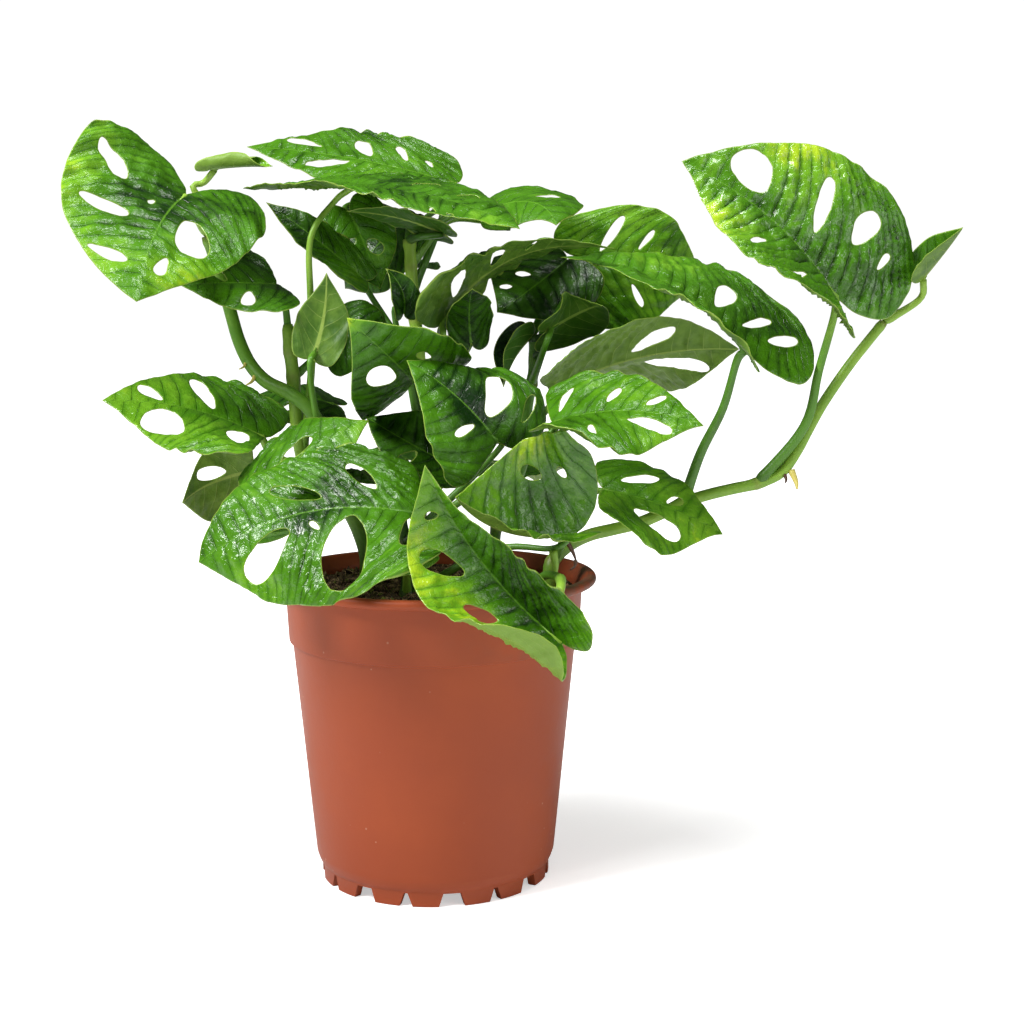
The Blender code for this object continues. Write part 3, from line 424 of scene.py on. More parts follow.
leaves = {
    "upper_left": leafForm((-127, 19, 357), (-141, -60, 303), (13, 44), (47, 58), arch=7, bow=-4,
        fold=((4, -25), (17, -11)), curl=((0, -29), (23, -12)), lobe=(0.25, 0.17), broad=(0.11, 0.07),
        point=0.0, holes=[(right, 0.15, 0.66, 24, 9, -70), (right, 0.42, 0.5, 26, 8, -88),
        (right, 0.25, 0.17, 5, 3, 20), (right, 0.72, 0.32, 21, 6, -75), (left, 0.42, 0.36, 28, 17, 20),
        (left, 0.72, 0.18, 14, 6, -10)], tone=0.0, wave=1.8, shine=0.3,
        patches=[(right, 0.35, 0.9, 16, 1.3), (right, 0.8, 0.5, 14, 1.2), (left, 0.75, 0.55, 16, 1.6),
        (right, 0.3, 0.25, 16, -0.7), (left, 0.1, 0.35, 18, -0.6)]),
    "left_mid": leafForm((-88, 13, 231), (-172, 11, 251), (1, 59), (48, 41), arch=4, bow=-5,
        fold=((24, -7), (1, 8)), curl=((2, -11), (-21, -28)), lobe=(0.0, 0.05), broad=(0.27, 0.22),
        point=0.2, holes=[(right, 0.73, 0.17, 16, 6, 35), (right, 0.44, 0.38, 27, 8, 55),
        (left, 0.6, 0.39, 29, 21, -40), (left, 0.13, 0.36, 19, 12, -75)], tone=0.45, wave=1.8, shine=0.5,
        patches=[(left, 0.8, 0.5, 14, 0.6), (right, 0.75, 0.5, 12, 0.4), (right, 0.15, 0.4, 16, -0.6)]),
    "left_low": leafForm((-94, 22, 213), (-130, -4, 199), (181, 28), (21, 28), arch=8, bow=-2,
        fold=((3, 8), (2, -1)), curl=((0, 0), (0, 0)), lobe=(0.0, 0.12), broad=(0.34, 0.28), point=0.5,
        holes=[(left, 0.5, 0.28, 20, 8, 15)], tone=0.2),
    "left_front": leafForm((-98, -32, 206), (-32, -35, 244), (-25, 38), (27, 35), arch=5, bow=-1,
        fold=((-12, 4), (0, -7)), curl=((-29, -21), (-19, -20)), lobe=(0.0, 0.12), broad=(0.42, 0.24),
        point=0.3, holes=[(left, 0.49, 0.16, 20, 8, 15)], tone=-0.1, wave=2.2,
        patches=[(right, 0.9, 0.1, 9, 0.9), (right, 0.4, 0.5, 14, 0.3)]),
    "front_left": leafForm((-10, -68, 202), (-113, -72, 179), (-5, 44), (53, 42), arch=17, bow=-2,
        fold=((29, -18), (-1, 17)), curl=((-10, -51), (-9, -51)), lobe=(0.03, 0.06), broad=(0.34, 0.24),
        point=-1.5, holes=[(left, 0.69, 0.29, 33, 16, 28), (left, 0.33, 0.52, 42, 21, 72),
        (left, 0.06, 0.38, 27, 7, 70), (right, 0.5, 0.3, 27, 8, 25), (right, 0.2, 0.46, 19, 8, 50),
        (left, 0.44, 0.18, 7, 3, -55)], tone=-0.05, wave=1.8, shine=0.55, veinGap=7.0,
        patches=[(left, 0.8, 0.5, 16, 0.7), (left, 0.3, 0.75, 14, 0.5), (right, 0.35, 0.15, 12, -0.7),
        (right, 0.6, 0.75, 14, 0.3), (left, 0.5, 0.1, 9, -0.5)]),
    # front_hanging's lime left half is partly its own yellow-green and partly painted light shining through
    # the leaf
    "front_hanging": leafForm((60, -103, 144), (-4, -113, 230), (-25, 16), (52, 23), arch=-8, bow=9,
        fold=((42, 13), (19, 42)), curl=((148, 24), (0, 0)), lobe=(0.1, 0.1), broad=(0.29, 0.15), point=0.5,
        holes=[(left, 0.79, 0.15, 7, 4, 60), (left, 0.6, 0.32, 24, 10, 30), (left, 0.34, 0.39, 20, 8, 35)],
        tone=0.6, wave=1.2, shine=0.8, quilt=0.8, patches=[(left, 0.8, 0.5, 17, 0.7),
        (left, 0.5, 0.45, 15, 0.7), (left, 0.2, 0.7, 20, 1.1), (right, 0.45, 0.5, 22, -1.3),
        (right, 0.1, 0.4, 18, -0.5), (left, 0.2, 0.1, 9, -0.8)]),
    # centre_curled's dark patch near the rib on its right side is painted shade inside the curl
    "centre_curled": leafForm((70, -45, 187), (10, -88, 212), (-11, 45), (17, 56), arch=-10, bow=1,
        fold=((64, 65), (31, 14)), curl=((-37, -36), (62, 55)), lobe=(0.14, 0.17), broad=(0.25, 0.21),
        point=0.4, holes=[(right, 0.35, 0.56, 17, 7, 10), (right, 0.08, 0.58, 9, 4, 40)], tone=0.35,
        wave=2.6, shine=1.0, veinGap=12.0, patches=[(right, 0.5, 0.85, 15, 0.9),
        (right, 0.25, 0.3, 12, -0.8), (right, 0.9, 0.3, 12, 0.6)]),
    "right_low": leafForm((88, -13, 206), (150, -14, 182), (5, 57), (32, 39), arch=2, bow=2,
        fold=((1, 10), (18, -3)), curl=((-16, -18), (2, -23)), lobe=(0.08, 0.06), broad=(0.26, 0.42),
        point=0.4, holes=[(left, 0.27, 0.46, 22, 6, 30), (left, 0.56, 0.2, 10, 6, 40),
        (right, 0.45, 0.45, 29, 14, 12)], tone=0.5, wave=1.4, shine=0.5,
        patches=[(right, 0.8, 0.3, 12, 0.4), (left, 0.2, 0.5, 12, -0.4)]),
    "right_front": leafForm((59, -40, 243), (133, -53, 242), (1, 61), (35, 40), arch=6, bow=3,
        fold=((5, 8), (28, -13)), curl=((-7, -8), (10, -41)), lobe=(0.02, 0.12), broad=(0.24, 0.35),
        point=0.5, holes=[(left, 0.1, 0.46, 20, 4, 70), (left, 0.4, 0.38, 12, 4, 60),
        (left, 0.67, 0.28, 12, 4, 45), (right, 0.66, 0.24, 24, 8, 5), (right, 0.28, 0.66, 12, 4, 80)],
        tone=0.1, wave=2.4, shine=0.4, patches=[(left, 0.5, 0.6, 12, 0.5), (right, 0.8, 0.4, 12, 0.5),
        (right, 0.15, 0.3, 14, -0.4)]),
    "right_under": leafForm((66, 25, 256), (161, 10, 277), (179, 53), (46, 39), arch=7, bow=-2,
        fold=((32, -19), (-9, 25)), curl=((33, -14), (-23, -18)), lobe=(0.04, 0.06), broad=(0.39, 0.24),
        point=0.0, holes=[(left, 0.2, 0.5, 14, 6, 60), (right, 0.56, 0.3, 27, 9, 25),
        (left, 0.66, 0.26, 36, 10, 12)], tone=0.35, wave=0.6),
    "right_arch": leafForm((162, -12, 275), (68, 28, 325), (27, 69), (30, 50), arch=12, bow=-5,
        fold=((25, 3), (23, -1)), curl=((11, -16), (-14, -17)), lobe=(0.1, 0.22), broad=(0.24, 0.28),
        point=0.5, holes=[(right, 0.27, 0.36, 20, 10, 80), (right, 0.1, 0.4, 19, 5, 105),
        (right, -0.02, 0.48, 19, 6, 110)], tone=0.15, wave=0.9, shine=0.6, quilt=0.8,
        patches=[(right, 0.1, 0.5, 20, -0.5), (right, 0.6, 0.5, 16, 0.4), (left, 0.8, 0.5, 14, -0.2)]),
    "upper_right": leafForm((209, -7, 303), (127, -6, 373), (-25, 46), (41, 60), arch=8, bow=-4,
        fold=((33, -6), (11, 12)), curl=((33, -2), (4, -25)), lobe=(0.14, 0.23), broad=(0.34, 0.19),
        point=0.1, holes=[(right, 0.7, 0.25, 24, 20, 30), (right, 0.36, 0.44, 32, 8, 70),
        (right, 0.16, 0.59, 21, 11, 85), (right, 0.0, 0.56, 11, 4, 80), (left, 0.5, 0.5, 13, 4, 60),
        (left, 0.26, 0.58, 18, 4, 65)], tone=0.3, wave=1.0, shine=1.0, quilt=1.9,
        patches=[(right, 0.6, 0.75, 17, 1.3), (left, 0.75, 0.7, 15, 1.3), (right, 0.0, 0.6, 16, -0.7),
        (left, 0.25, 0.1, 12, -0.6), (right, 0.6, 0.05, 10, -0.6)]),
    "right_back": leafForm((82, 66, 325), (152, 87, 313), (-2, 12), (30, 39), arch=14, bow=1,
        fold=((7, 16), (5, 3)), curl=((-17, -7), (-14, -12)), lobe=(0.17, 0.05), broad=(0.39, 0.19),
        point=0.5, holes=[(left, 0.19, 0.46, 23, 5, 60), (left, 0.43, 0.4, 14, 3, 55),
        (right, 0.4, 0.5, 14, 4, 55)], tone=0.5, wave=1.4),
    "top_right": leafForm((33, 44, 352), (64, 7, 341), (-1, 64), (35, 19), arch=5, bow=8,
        fold=((5, -14), (-21, -16)), curl=((-11, -27), (-32, -31)), lobe=(0.13, 0.12), broad=(0.31, 0.25),
        point=0.5, holes=[(left, 0.4, 0.45, 13, 4, 65)], tone=0.0, wave=1.8),
    "top_back": leafForm((13, 78, 366), (-101, 72, 385), (0, 55), (33, 37), arch=7, bow=4,
        fold=((15, -9), (0, 2)), curl=((8, -15), (-9, -12)), lobe=(0.12, 0.05), broad=(0.3, 0.25),
        point=0.4, holes=[(right, 0.74, 0.22, 20, 6, 5), (left, 0.61, 0.27, 24, 6, 20),
        (right, 0.45, 0.34, 15, 9, 60), (right, 0.26, 0.42, 14, 6, 70), (right, 0.12, 0.36, 9, 4, 80),
        (left, 0.3, 0.4, 16, 5, 60)], tone=0.0, wave=1.6, shine=0.35, patches=[(right, 0.5, 0.7, 14, -0.4),
        (left, 0.5, 0.7, 14, 0.4)]),
    "top_front": leafForm((-44, 6, 360), (43, -38, 338), (7, 72), (45, 35), arch=5, bow=4,
        fold=((2, 0), (17, -8)), curl=((-12, -26), (5, -5)), lobe=(0.3, 0.5), broad=(0.25, 0.25), point=0.3,
        holes=[(right, 0.6, 0.57, 7, 3, 45), (right, 0.69, 0.5, 6, 3, 35), (left, 0.35, 0.45, 18, 5, 60),
        (left, 0.6, 0.35, 12, 4, 50)], tone=-0.15, wave=1.4, shine=0.4, patches=[(right, 0.9, 0.3, 12, 0.8),
        (left, 0.2, 0.5, 18, -0.4)]),
    "centre_tall": leafForm((-10, -4, 261), (-42, -43, 295), (-22, 18), (32, 33), arch=12, bow=-3,
        fold=((11, 4), (11, 15)), curl=((-4, -10), (0, -1)), lobe=(0.12, 0.12), broad=(0.21, 0.18),
        point=0.4, holes=[(left, 0.45, 0.3, 20, 12, 20), (right, 0.4, 0.42, 8, 5, -30)], tone=-0.3,
        wave=2.4, patches=[(left, 1.0, 0.0, 5, 2.2), (right, 0.7, 0.6, 9, 0.6)]),
    "centre": leafForm((32, -39, 233), (-13, -42, 274), (-22, 56), (38, 49), arch=6, bow=1,
        fold=((0, 11), (39, -9)), curl=((-21, -12), (-66, -117)), lobe=(0.0, 0.24), broad=(0.13, 0.32),
        point=0.4, holes=[(right, 0.26, 0.36, 27, 14, 78), (right, 0.0, 0.52, 17, 5, 82),
        (left, 0.3, 0.32, 14, 4, 70)], tone=-0.35, wave=2.6, patches=[(left, 0.6, 0.5, 11, 0.6),
        (left, 0.1, 0.6, 13, 0.5), (right, 0.45, 0.15, 12, -0.8), (left, 0.3, 0.1, 9, -0.7)]),
    "upper_mid_left": leafForm((-81, 14, 311), (-129, -4, 311), (0, 53), (29, 33), arch=3, bow=3,
        fold=((11, -2), (7, -2)), curl=((-4, -4), (-6, -17)), lobe=(0.05, 0.05), broad=(0.22, 0.24),
        point=0.4, holes=[(right, 0.59, 0.22, 13, 6, 65), (left, 0.4, 0.55, 13, 6, 70)], tone=-0.35,
        wave=1.6, patches=[(left, 0.8, 0.4, 10, 0.6)]),
    "left_upper": leafForm((-44, 42, 349), (-28, 40, 308), (-5, 20), (19, 22), arch=4, bow=1,
        fold=((10, 4), (14, 6)), curl=((-16, -8), (-20, -14)), lobe=(0.16, 0.16), broad=(0.27, 0.26),
        point=0.4, holes=[(right, 0.38, 0.5, 16, 6, 75), (left, 0.5, 0.25, 10, 7, 30)], tone=-0.1, wave=1.8,
        patches=[(left, 0.7, 0.6, 8, 0.7)]),
    "cross_dark": leafForm((-35, 27, 313), (-86, 18, 353), (0, 40), (10, 12), arch=3, bow=1,
        fold=((12, 6), (10, 4)), curl=((-12, -14), (-14, -16)), lobe=(0.05, 0.05), broad=(0.5, 0.5),
        point=-0.5, tone=-0.7, wave=2.0, shine=0.25, patches=[(left, 0.15, 0.4, 12, 0.9),
        (right, 0.1, 0.4, 10, 0.6)]),
    # top_shade's tone of -1.0 is painted shade: it lies in the shadow of the leaves above it
    "top_shade": leafForm((7, 4, 336), (-44, 3, 348), (180, 70), (13, 12), arch=3, bow=1,
        fold=((4, 2), (4, 2)), curl=((-10, -12), (-12, -14)), lobe=(0.1, 0.1), broad=(0.35, 0.35),
        point=0.2, tone=-1.0, wave=2.2, shine=0.25),
    "crumpled": leafForm((-15, 0, 296), (-24, -4, 319), (20, 25), (8, 9), arch=4, bow=-2,
        fold=((30, 20), (25, 30)), curl=((-30, -40), (35, 20)), lobe=(0.1, 0.1), broad=(0.3, 0.25),
        point=0.4, tone=-0.8, wave=3.4, shine=0.25, quilt=0.6),
    "back_left": leafForm((-16, 76, 345), (-49, 84, 308), (-10, 33), (29, 35), arch=12, bow=5,
        fold=((16, -2), (-8, 7)), curl=((8, -12), (-26, -11)), lobe=(0.05, 0.13), broad=(0.32, 0.26),
        point=0.5, holes=[(right, 0.52, 0.22, 14, 6, 40)], tone=-0.5, shine=0.25),
    "mid_back": leafForm((-50, 30, 287), (-22, 27, 275), (-5, 25), (18, 26), arch=8, bow=1,
        fold=((5, -2), (0, 0)), curl=((-10, -17), (-14, -14)), lobe=(0.13, 0.12), broad=(0.24, 0.25),
        point=0.5, tone=-0.4, shine=0.25),
    "pale_under": leafForm((-61, -12, 274), (-54, -4, 317), (180, 5), (14, 14), arch=4, bow=2,
        fold=((-3, 1), (-5, -1)), curl=((-15, -13), (-18, -20)), lobe=(0.06, 0.06), broad=(0.32, 0.32),
        point=0.5, tone=-0.25, wave=1.8),
    "long_under": leafForm((3, 10, 289), (95, 8, 329), (180, 75), (16, 29), arch=17, bow=-3,
        fold=((3, 4), (14, -5)), curl=((-7, -12), (12, -29)), lobe=(0.03, 0.03), broad=(0.25, 0.22),
        point=0.4, holes=[(right, 0.2, 0.46, 19, 7, 50), (right, 0.42, 0.4, 16, 6, 55),
        (right, 0.6, 0.3, 10, 4, 50)], tone=-0.1, wave=1.8),
    "mid_right": leafForm((73, 50, 324), (34, 26, 296), (-5, 35), (30, 37), arch=0, bow=1,
        fold=((5, -12), (-12, -1)), curl=((-9, -13), (-25, -15)), lobe=(0.12, 0.11), broad=(0.23, 0.28),
        point=0.4, holes=[(right, 0.44, 0.3, 9, 4, 65), (right, 0.69, 0.3, 7, 4, 50)], tone=-0.6, wave=2.6,
        shine=0.25),
    "mid_right_under": leafForm((60, 14, 287), (87, -4, 300), (177, 39), (19, 19), arch=12, bow=7,
        fold=((6, -3), (-7, 7)), curl=((-4, -13), (-18, -6)), lobe=(0.12, 0.12), broad=(0.27, 0.25),
        point=0.5, tone=-0.4, wave=1.8),
    "torn": leafForm((20, 12, 280), (20, -22, 309), (7, 20), (12, 14), arch=-4, bow=0,
        fold=((-3, -3), (-5, 0)), curl=((-18, -17), (-20, -15)), lobe=(0.12, 0.12), broad=(0.29, 0.27),
        point=0.5, tone=-0.6, wave=2.6, shine=0.25),
    "left_back": leafForm((-54, 58, 245), (-102, 76, 247), (2, 58), (24, 23), arch=8, bow=4,
        fold=((0, 0), (-11, -4)), curl=((-14, -14), (-25, -22)), lobe=(0.12, 0.12), broad=(0.25, 0.25),
        point=0.5, holes=[(left, 0.4, 0.45, 10, 4, 60)], tone=-0.6, shine=0.25),
    "centre_low": leafForm((8, -6, 219), (-35, 0, 243), (-3, 38), (18, 26), arch=8, bow=5,
        fold=((11, 7), (-15, 10)), curl=((-2, -5), (-32, -12)), lobe=(0.12, 0.12), broad=(0.27, 0.25),
        point=0.4, holes=[(left, 0.4, 0.45, 12, 5, 60)], tone=-0.6, wave=1.8, shine=0.25),
    "back_low": leafForm((-15, 46, 216), (-38, 132, 200), (200, 62), (34, 32), arch=9, bow=2,
        fold=((4, 0), (6, 0)), curl=((-12, -16), (-14, -18)), lobe=(0.14, 0.12), broad=(0.25, 0.22),
        point=0.4, holes=[(left, 0.3, 0.48, 20, 7, 60), (right, 0.4, 0.45, 18, 7, 60),
        (left, 0.58, 0.35, 12, 5, 50)]),
    "back_wide": leafForm((-50, 60, 204), (-110, 116, 194), (215, 66), (30, 32), arch=8, bow=-2,
        fold=((6, 0), (4, 0)), curl=((-14, -16), (-10, -18)), lobe=(0.12, 0.15), broad=(0.24, 0.25),
        point=0.4, holes=[(left, 0.35, 0.45, 18, 6, 60), (right, 0.3, 0.48, 18, 7, 62)]),
    "back_right": leafForm((30, 60, 206), (62, 136, 192), (160, 60), (33, 33), arch=9, bow=-3,
        fold=((5, 0), (5, 0)), curl=((-12, -18), (-12, -16)), lobe=(0.13, 0.13), broad=(0.25, 0.25),
        point=0.4, holes=[(left, 0.34, 0.46, 20, 7, 60), (right, 0.32, 0.47, 19, 7, 60),
        (right, 0.6, 0.35, 12, 5, 50)]),
    "back_high": leafForm((-22, 88, 322), (-40, 152, 308), (190, 60), (31, 33), arch=9, bow=2,
        fold=((5, 0), (5, 0)), curl=((-14, -18), (-12, -16)), lobe=(0.13, 0.13), broad=(0.25, 0.25),
        point=0.4, holes=[(left, 0.34, 0.46, 18, 6, 60), (right, 0.36, 0.46, 18, 7, 60)]),
    "front_low": leafForm((-3, -44, 179), (-29, -52, 167), (-10, 50), (10, 8), arch=3, bow=1,
        fold=((4, 0), (5, 0)), curl=((-15, -18), (-12, -16)), lobe=(0.08, 0.08), broad=(0.28, 0.26),
        point=0.4, tone=0.3),
    "dark_rolled": leafForm((53, 21, 284), (37, 13, 257), (-60, 40), (13, 13), arch=3, bow=0,
        fold=((50, 50), (50, 50)), curl=((30, 30), (20, 20)), lobe=(0.06, 0.06), broad=(0.3, 0.3),
        point=0.3, tone=-1.1, shine=0.25),
    "new_left": leafForm((-117, 40, 371), (-83, 28, 372), (0, 60), (10, 12), arch=1, bow=0,
        fold=((0, 0), (0, 0)), curl=((250, 250), (165, 165)), lobe=(0.18, 0.18), broad=(0.5, 0.5),
        point=0.0, tone=1.0, quilt=0.3),
    "new_right": leafForm((256, 10, 312), (272, -10, 340), (-50, 48), (13, 18), arch=-2, bow=3,
        fold=((50, 50), (40, 50)), curl=((10, 10), (7, 12)), lobe=(0.05, 0.05), broad=(0.25, 0.25),
        point=0.4, tone=0.1, quilt=0.5),
}

leafBuild = {
    "grid": 1.7, "thickness": 0.5, "edge": 0.2, "rimRing": 0.8,
    # the filling: rows to each side, and shares of the grid or the ring that keep its points apart
    "rows": 80, "rowStep": 0.87, "rimStep": 0.9, "ribClear": 0.9, "ringClear": 0.7, "fillClear": 0.45,
    # side veins: their distance apart, the right side's shift, their bend ahead, the swelling between
    "veinGap": 8.5, "shift": 0.45, "bendAhead": (0.19, 0.28), "swell": 0.32, "sink": 0.6, "twin": 0.18,
    # relief: heights in millimetres, and for each ripple the change of its seed and its size
    "quilt": 1.5, "uneven": (0.75, 0.5), "unevenRipple": (40, 34), "pucker": 0.42, "puckerRipple": (80, 11),
    "lumps": 1.1, "lumpsFrom": 26, "lumpsMore": 18, "wave": 1.4, "waveTurn": (1.7, 0.6),
    # how far from the rim and from the rib the relief starts
    "calm": 9, "ribFlat": 4, "lumpFlat": 8,
    "groove": 0.55, "grooveWide": 0.9, "ridge": 0.9, "ridgeWide": 1.1, "veinRidge": 0.22, "veinWide": 0.08,
    # the last three set the painted shade in the valleys between the swellings and beside the rib
    "valleyShadow": 0.35, "ribValleyShadow": 0.5, "valleyWide": 3.5}


class Blade:
    # the curved surface of one leaf: along runs 0 to 1 from base to tip, out is the distance from
    # the rib in millimetres, positive to the left
    def __init__(self, leaf):
        self.leaf = leaf
        self.base = np.array(leaf["base"], float)
        self.chord = np.array(leaf["tip"], float) - self.base
        span = np.linalg.norm(self.chord)
        turn, tilt = (math.radians(v) for v in leaf["face"])
        face = np.array([math.sin(turn) * math.cos(tilt), -math.cos(turn) * math.cos(tilt), math.sin(tilt)])
        forward = self.chord / span
        self.up = unit(face - face.dot(forward) * forward)
        self.side = np.cross(self.up, forward)
        self.length = span * (1 + 8 / 3 * (leaf["arch"] ** 2 + leaf["bow"] ** 2) / span ** 2)

    def points(self, along, out):
        along, out = np.asarray(along, float), np.asarray(out, float)
        ahead = np.maximum(along, 0)[:, None]
        rise = self.up * self.leaf["arch"] + self.side * self.leaf["bow"]
        bend = np.where(along[:, None] > 0, 4 * ahead * (1 - ahead), 4 * along[:, None])
        rib = self.base + self.chord * along[:, None] + bend * rise
        forward = self.chord + rise * 4 * (1 - 2 * ahead)
        forward /= np.linalg.norm(forward, axis=1)[:, None]
        up = self.up - (forward @ self.up)[:, None] * forward
        up /= np.linalg.norm(up, axis=1)[:, None]
        side = np.cross(up, forward)
        which = (out < 0).astype(int)
        ahead = ahead[:, 0]
        width = np.array(self.leaf["width"], float)[which]
        fold, curl = (np.radians(np.array(self.leaf[key], float)[which]) for key in ("fold", "curl"))
        fold, curl = blend(fold.T, ahead), blend(curl.T, ahead)
        curl = np.where(np.abs(curl) < 0.001, 0.001, curl)
        turned = fold + curl * np.abs(out) / width
        across = width / curl * (np.sin(turned) - np.sin(fold)) * np.where(out < 0, -1, 1)
        lift = -width / curl * (np.cos(turned) - np.cos(fold))
        return rib + side * across[:, None] + up * lift[:, None]

    def width(self, side):
        return self.leaf["width"][0 if side == left else 1]

    def normals(self, along, out, step=0.5):
        share = step / self.length
        run = self.points(along + share, out) - self.points(along - share, out)
        cross = self.points(along, out + step) - self.points(along, out - step)
        normal = np.cross(run, cross)
        return normal / np.linalg.norm(normal, axis=1)[:, None]

    def outline(self):
        # a heart with its lobes behind the base and its sides drawn in to the tip, as shares of the leaf
        sides = []
        for k in (0, 1):
            lobe, broad, point = self.leaf["lobe"][k], self.leaf["broad"][k], self.leaf["point"]
            margin = smoothPath([
                (0, 0), (-0.55 * lobe, 0.10), (-lobe, 0.36), (-0.62 * lobe, 0.74), (broad * 0.42, 0.96),
                (broad + 0.06, 1), (0.42 + 0.5 * broad, 0.86), (0.70 + 0.2 * broad, 0.53 - 0.1 * point),
                (0.92, 0.17 - 0.07 * point), (1, 0)], 8)
            margin *= (self.length, self.leaf["width"][k])
            margin = evenly(margin, leafBuild["grid"] * leafBuild["rimStep"])
            sides.append(margin * (1, (1, -1)[k]))
        return np.vstack([sides[1][:-1], sides[0][:0:-1]])

    def hole(self, spec):
        # a slanting oval that is wider at one end
        side, along, out, length, width, slant = spec
        count = max(10, int(1.7 * (length + width) / leafBuild["grid"]))
        angle = np.linspace(0, fullTurn, count, endpoint=False)
        bulge = 1 + 0.25 * np.cos(angle) + 0.06 * np.sin(3 * angle + along * 40)
        u = length / 2 * np.cos(angle)
        v = width / 2 * np.sin(angle) * bulge
        slant = math.radians(slant)
        x = along * self.length + u * math.cos(slant) - v * math.sin(slant)
        y = out * self.width(side) + u * math.sin(slant) + v * math.cos(slant)
        loop = np.stack([x, y * side], 1)
        return loop if side == left else loop[::-1]


def insideLoop(points, loop):
    found = np.zeros(len(points), bool)
    for (x0, y0), (x1, y1) in zip(loop, np.roll(loop, -1, axis=0)):
        if y0 != y1:
            level = (y0 > points[:, 1]) != (y1 > points[:, 1])
            found ^= level & (points[:, 0] < (x1 - x0) * (points[:, 1] - y0) / (y1 - y0) + x0)
    return found


def farFromLoops(points, loops, batch=2000):
    best = np.full(len(points), 1e9)
    for loop in loops:
        ends = np.roll(loop, -1, axis=0) - loop
        size = np.maximum((ends ** 2).sum(1), 1e-9)
        for start in range(0, len(points), batch):
            gap = points[start:start + batch][:, None] - loop[None]
            share = np.clip((gap * ends[None]).sum(2) / size, 0, 1)
            reach = np.linalg.norm(gap - ends[None] * share[..., None], axis=2).min(1)
            best[start:start + batch] = np.minimum(best[start:start + batch], reach)
    return best


def insideRing(loop, step):
    # the loop drawn in towards the leaf's flesh, which lies on its left
    run = np.roll(loop, -1, axis=0) - np.roll(loop, 1, axis=0)
    run /= np.maximum(np.linalg.norm(run, axis=1), 1e-9)[:, None]
    return loop + np.stack([-run[:, 1], run[:, 0]], 1) * step


def turnedWay(loop, way):
    # the loop so that it runs to the left (1) or to the right (-1)
    area = (loop[:, 0] * np.roll(loop[:, 1], -1) - loop[:, 1] * np.roll(loop[:, 0], -1)).sum()
    return loop[::-1] if area * way < 0 else loop


def leafPlan(blade):
    # the flat leaf as triangles: outline, holes, a ring inside each, the rib and an even filling
    b = leafBuild
    grid, ring = b["grid"], b["rimRing"]
    rim = turnedWay(blade.outline(), 1)
    holes = [turnedWay(blade.hole(spec), -1) for spec in blade.leaf["holes"]]
    loops = [rim] + holes

    def inLeaf(points):
        found = insideLoop(points, rim)
        for hole in holes:
            found &= ~insideLoop(points, hole)
        return found

    def keep(points, clear):
        points = points[inLeaf(points)]
        return points[farFromLoops(points, loops) > clear]

    rings = np.vstack([insideRing(loop, ring) for loop in loops])
    ribCount = max(6, int(blade.length / grid))
    rib = np.stack([np.linspace(0.0, blade.length, ribCount)[1:-1], np.zeros(ribCount - 2)], 1)
    x = np.arange(-blade.length * 0.3, blade.length, grid)
    y = np.arange(-b["rows"], b["rows"] + 1) * grid * b["rowStep"]
    mesh = np.stack(np.meshgrid(x, y), 2)
    mesh[1::2, :, 0] += grid / 2
    filling = mesh.reshape(-1, 2)
    low, high = rim.min(0), rim.max(0)
    filling = filling[((filling > low) & (filling < high)).all(1) & (np.abs(filling[:, 1]) > grid * 0.5)]
    rib = keep(rib, ring * b["ribClear"])
    inner = np.vstack([rib, keep(rings, ring * b["ringClear"]), keep(filling, ring + grid * b["fillClear"])])
    points, edges = [], []
    for loop in loops:
        first = len(points)
        points += [Vector(p) for p in loop]
        edges += [(first + k, first + (k + 1) % len(loop)) for k in range(len(loop))]
    first = len(points)
    points += [Vector(p) for p in inner]
    edges += [(first + k, first + k + 1) for k in range(len(rib) - 1)
              if np.linalg.norm(rib[k + 1] - rib[k]) < grid * 1.5]
    flat, _, faces, *_ = delaunay_2d_cdt(points, edges, [], 1, 1e-5)
    plan = np.array([tuple(p) for p in flat])
    faces = np.array([list(f) for f in faces])
    return plan, faces[inLeaf(plan[faces].mean(1))], farFromLoops(plan, loops)


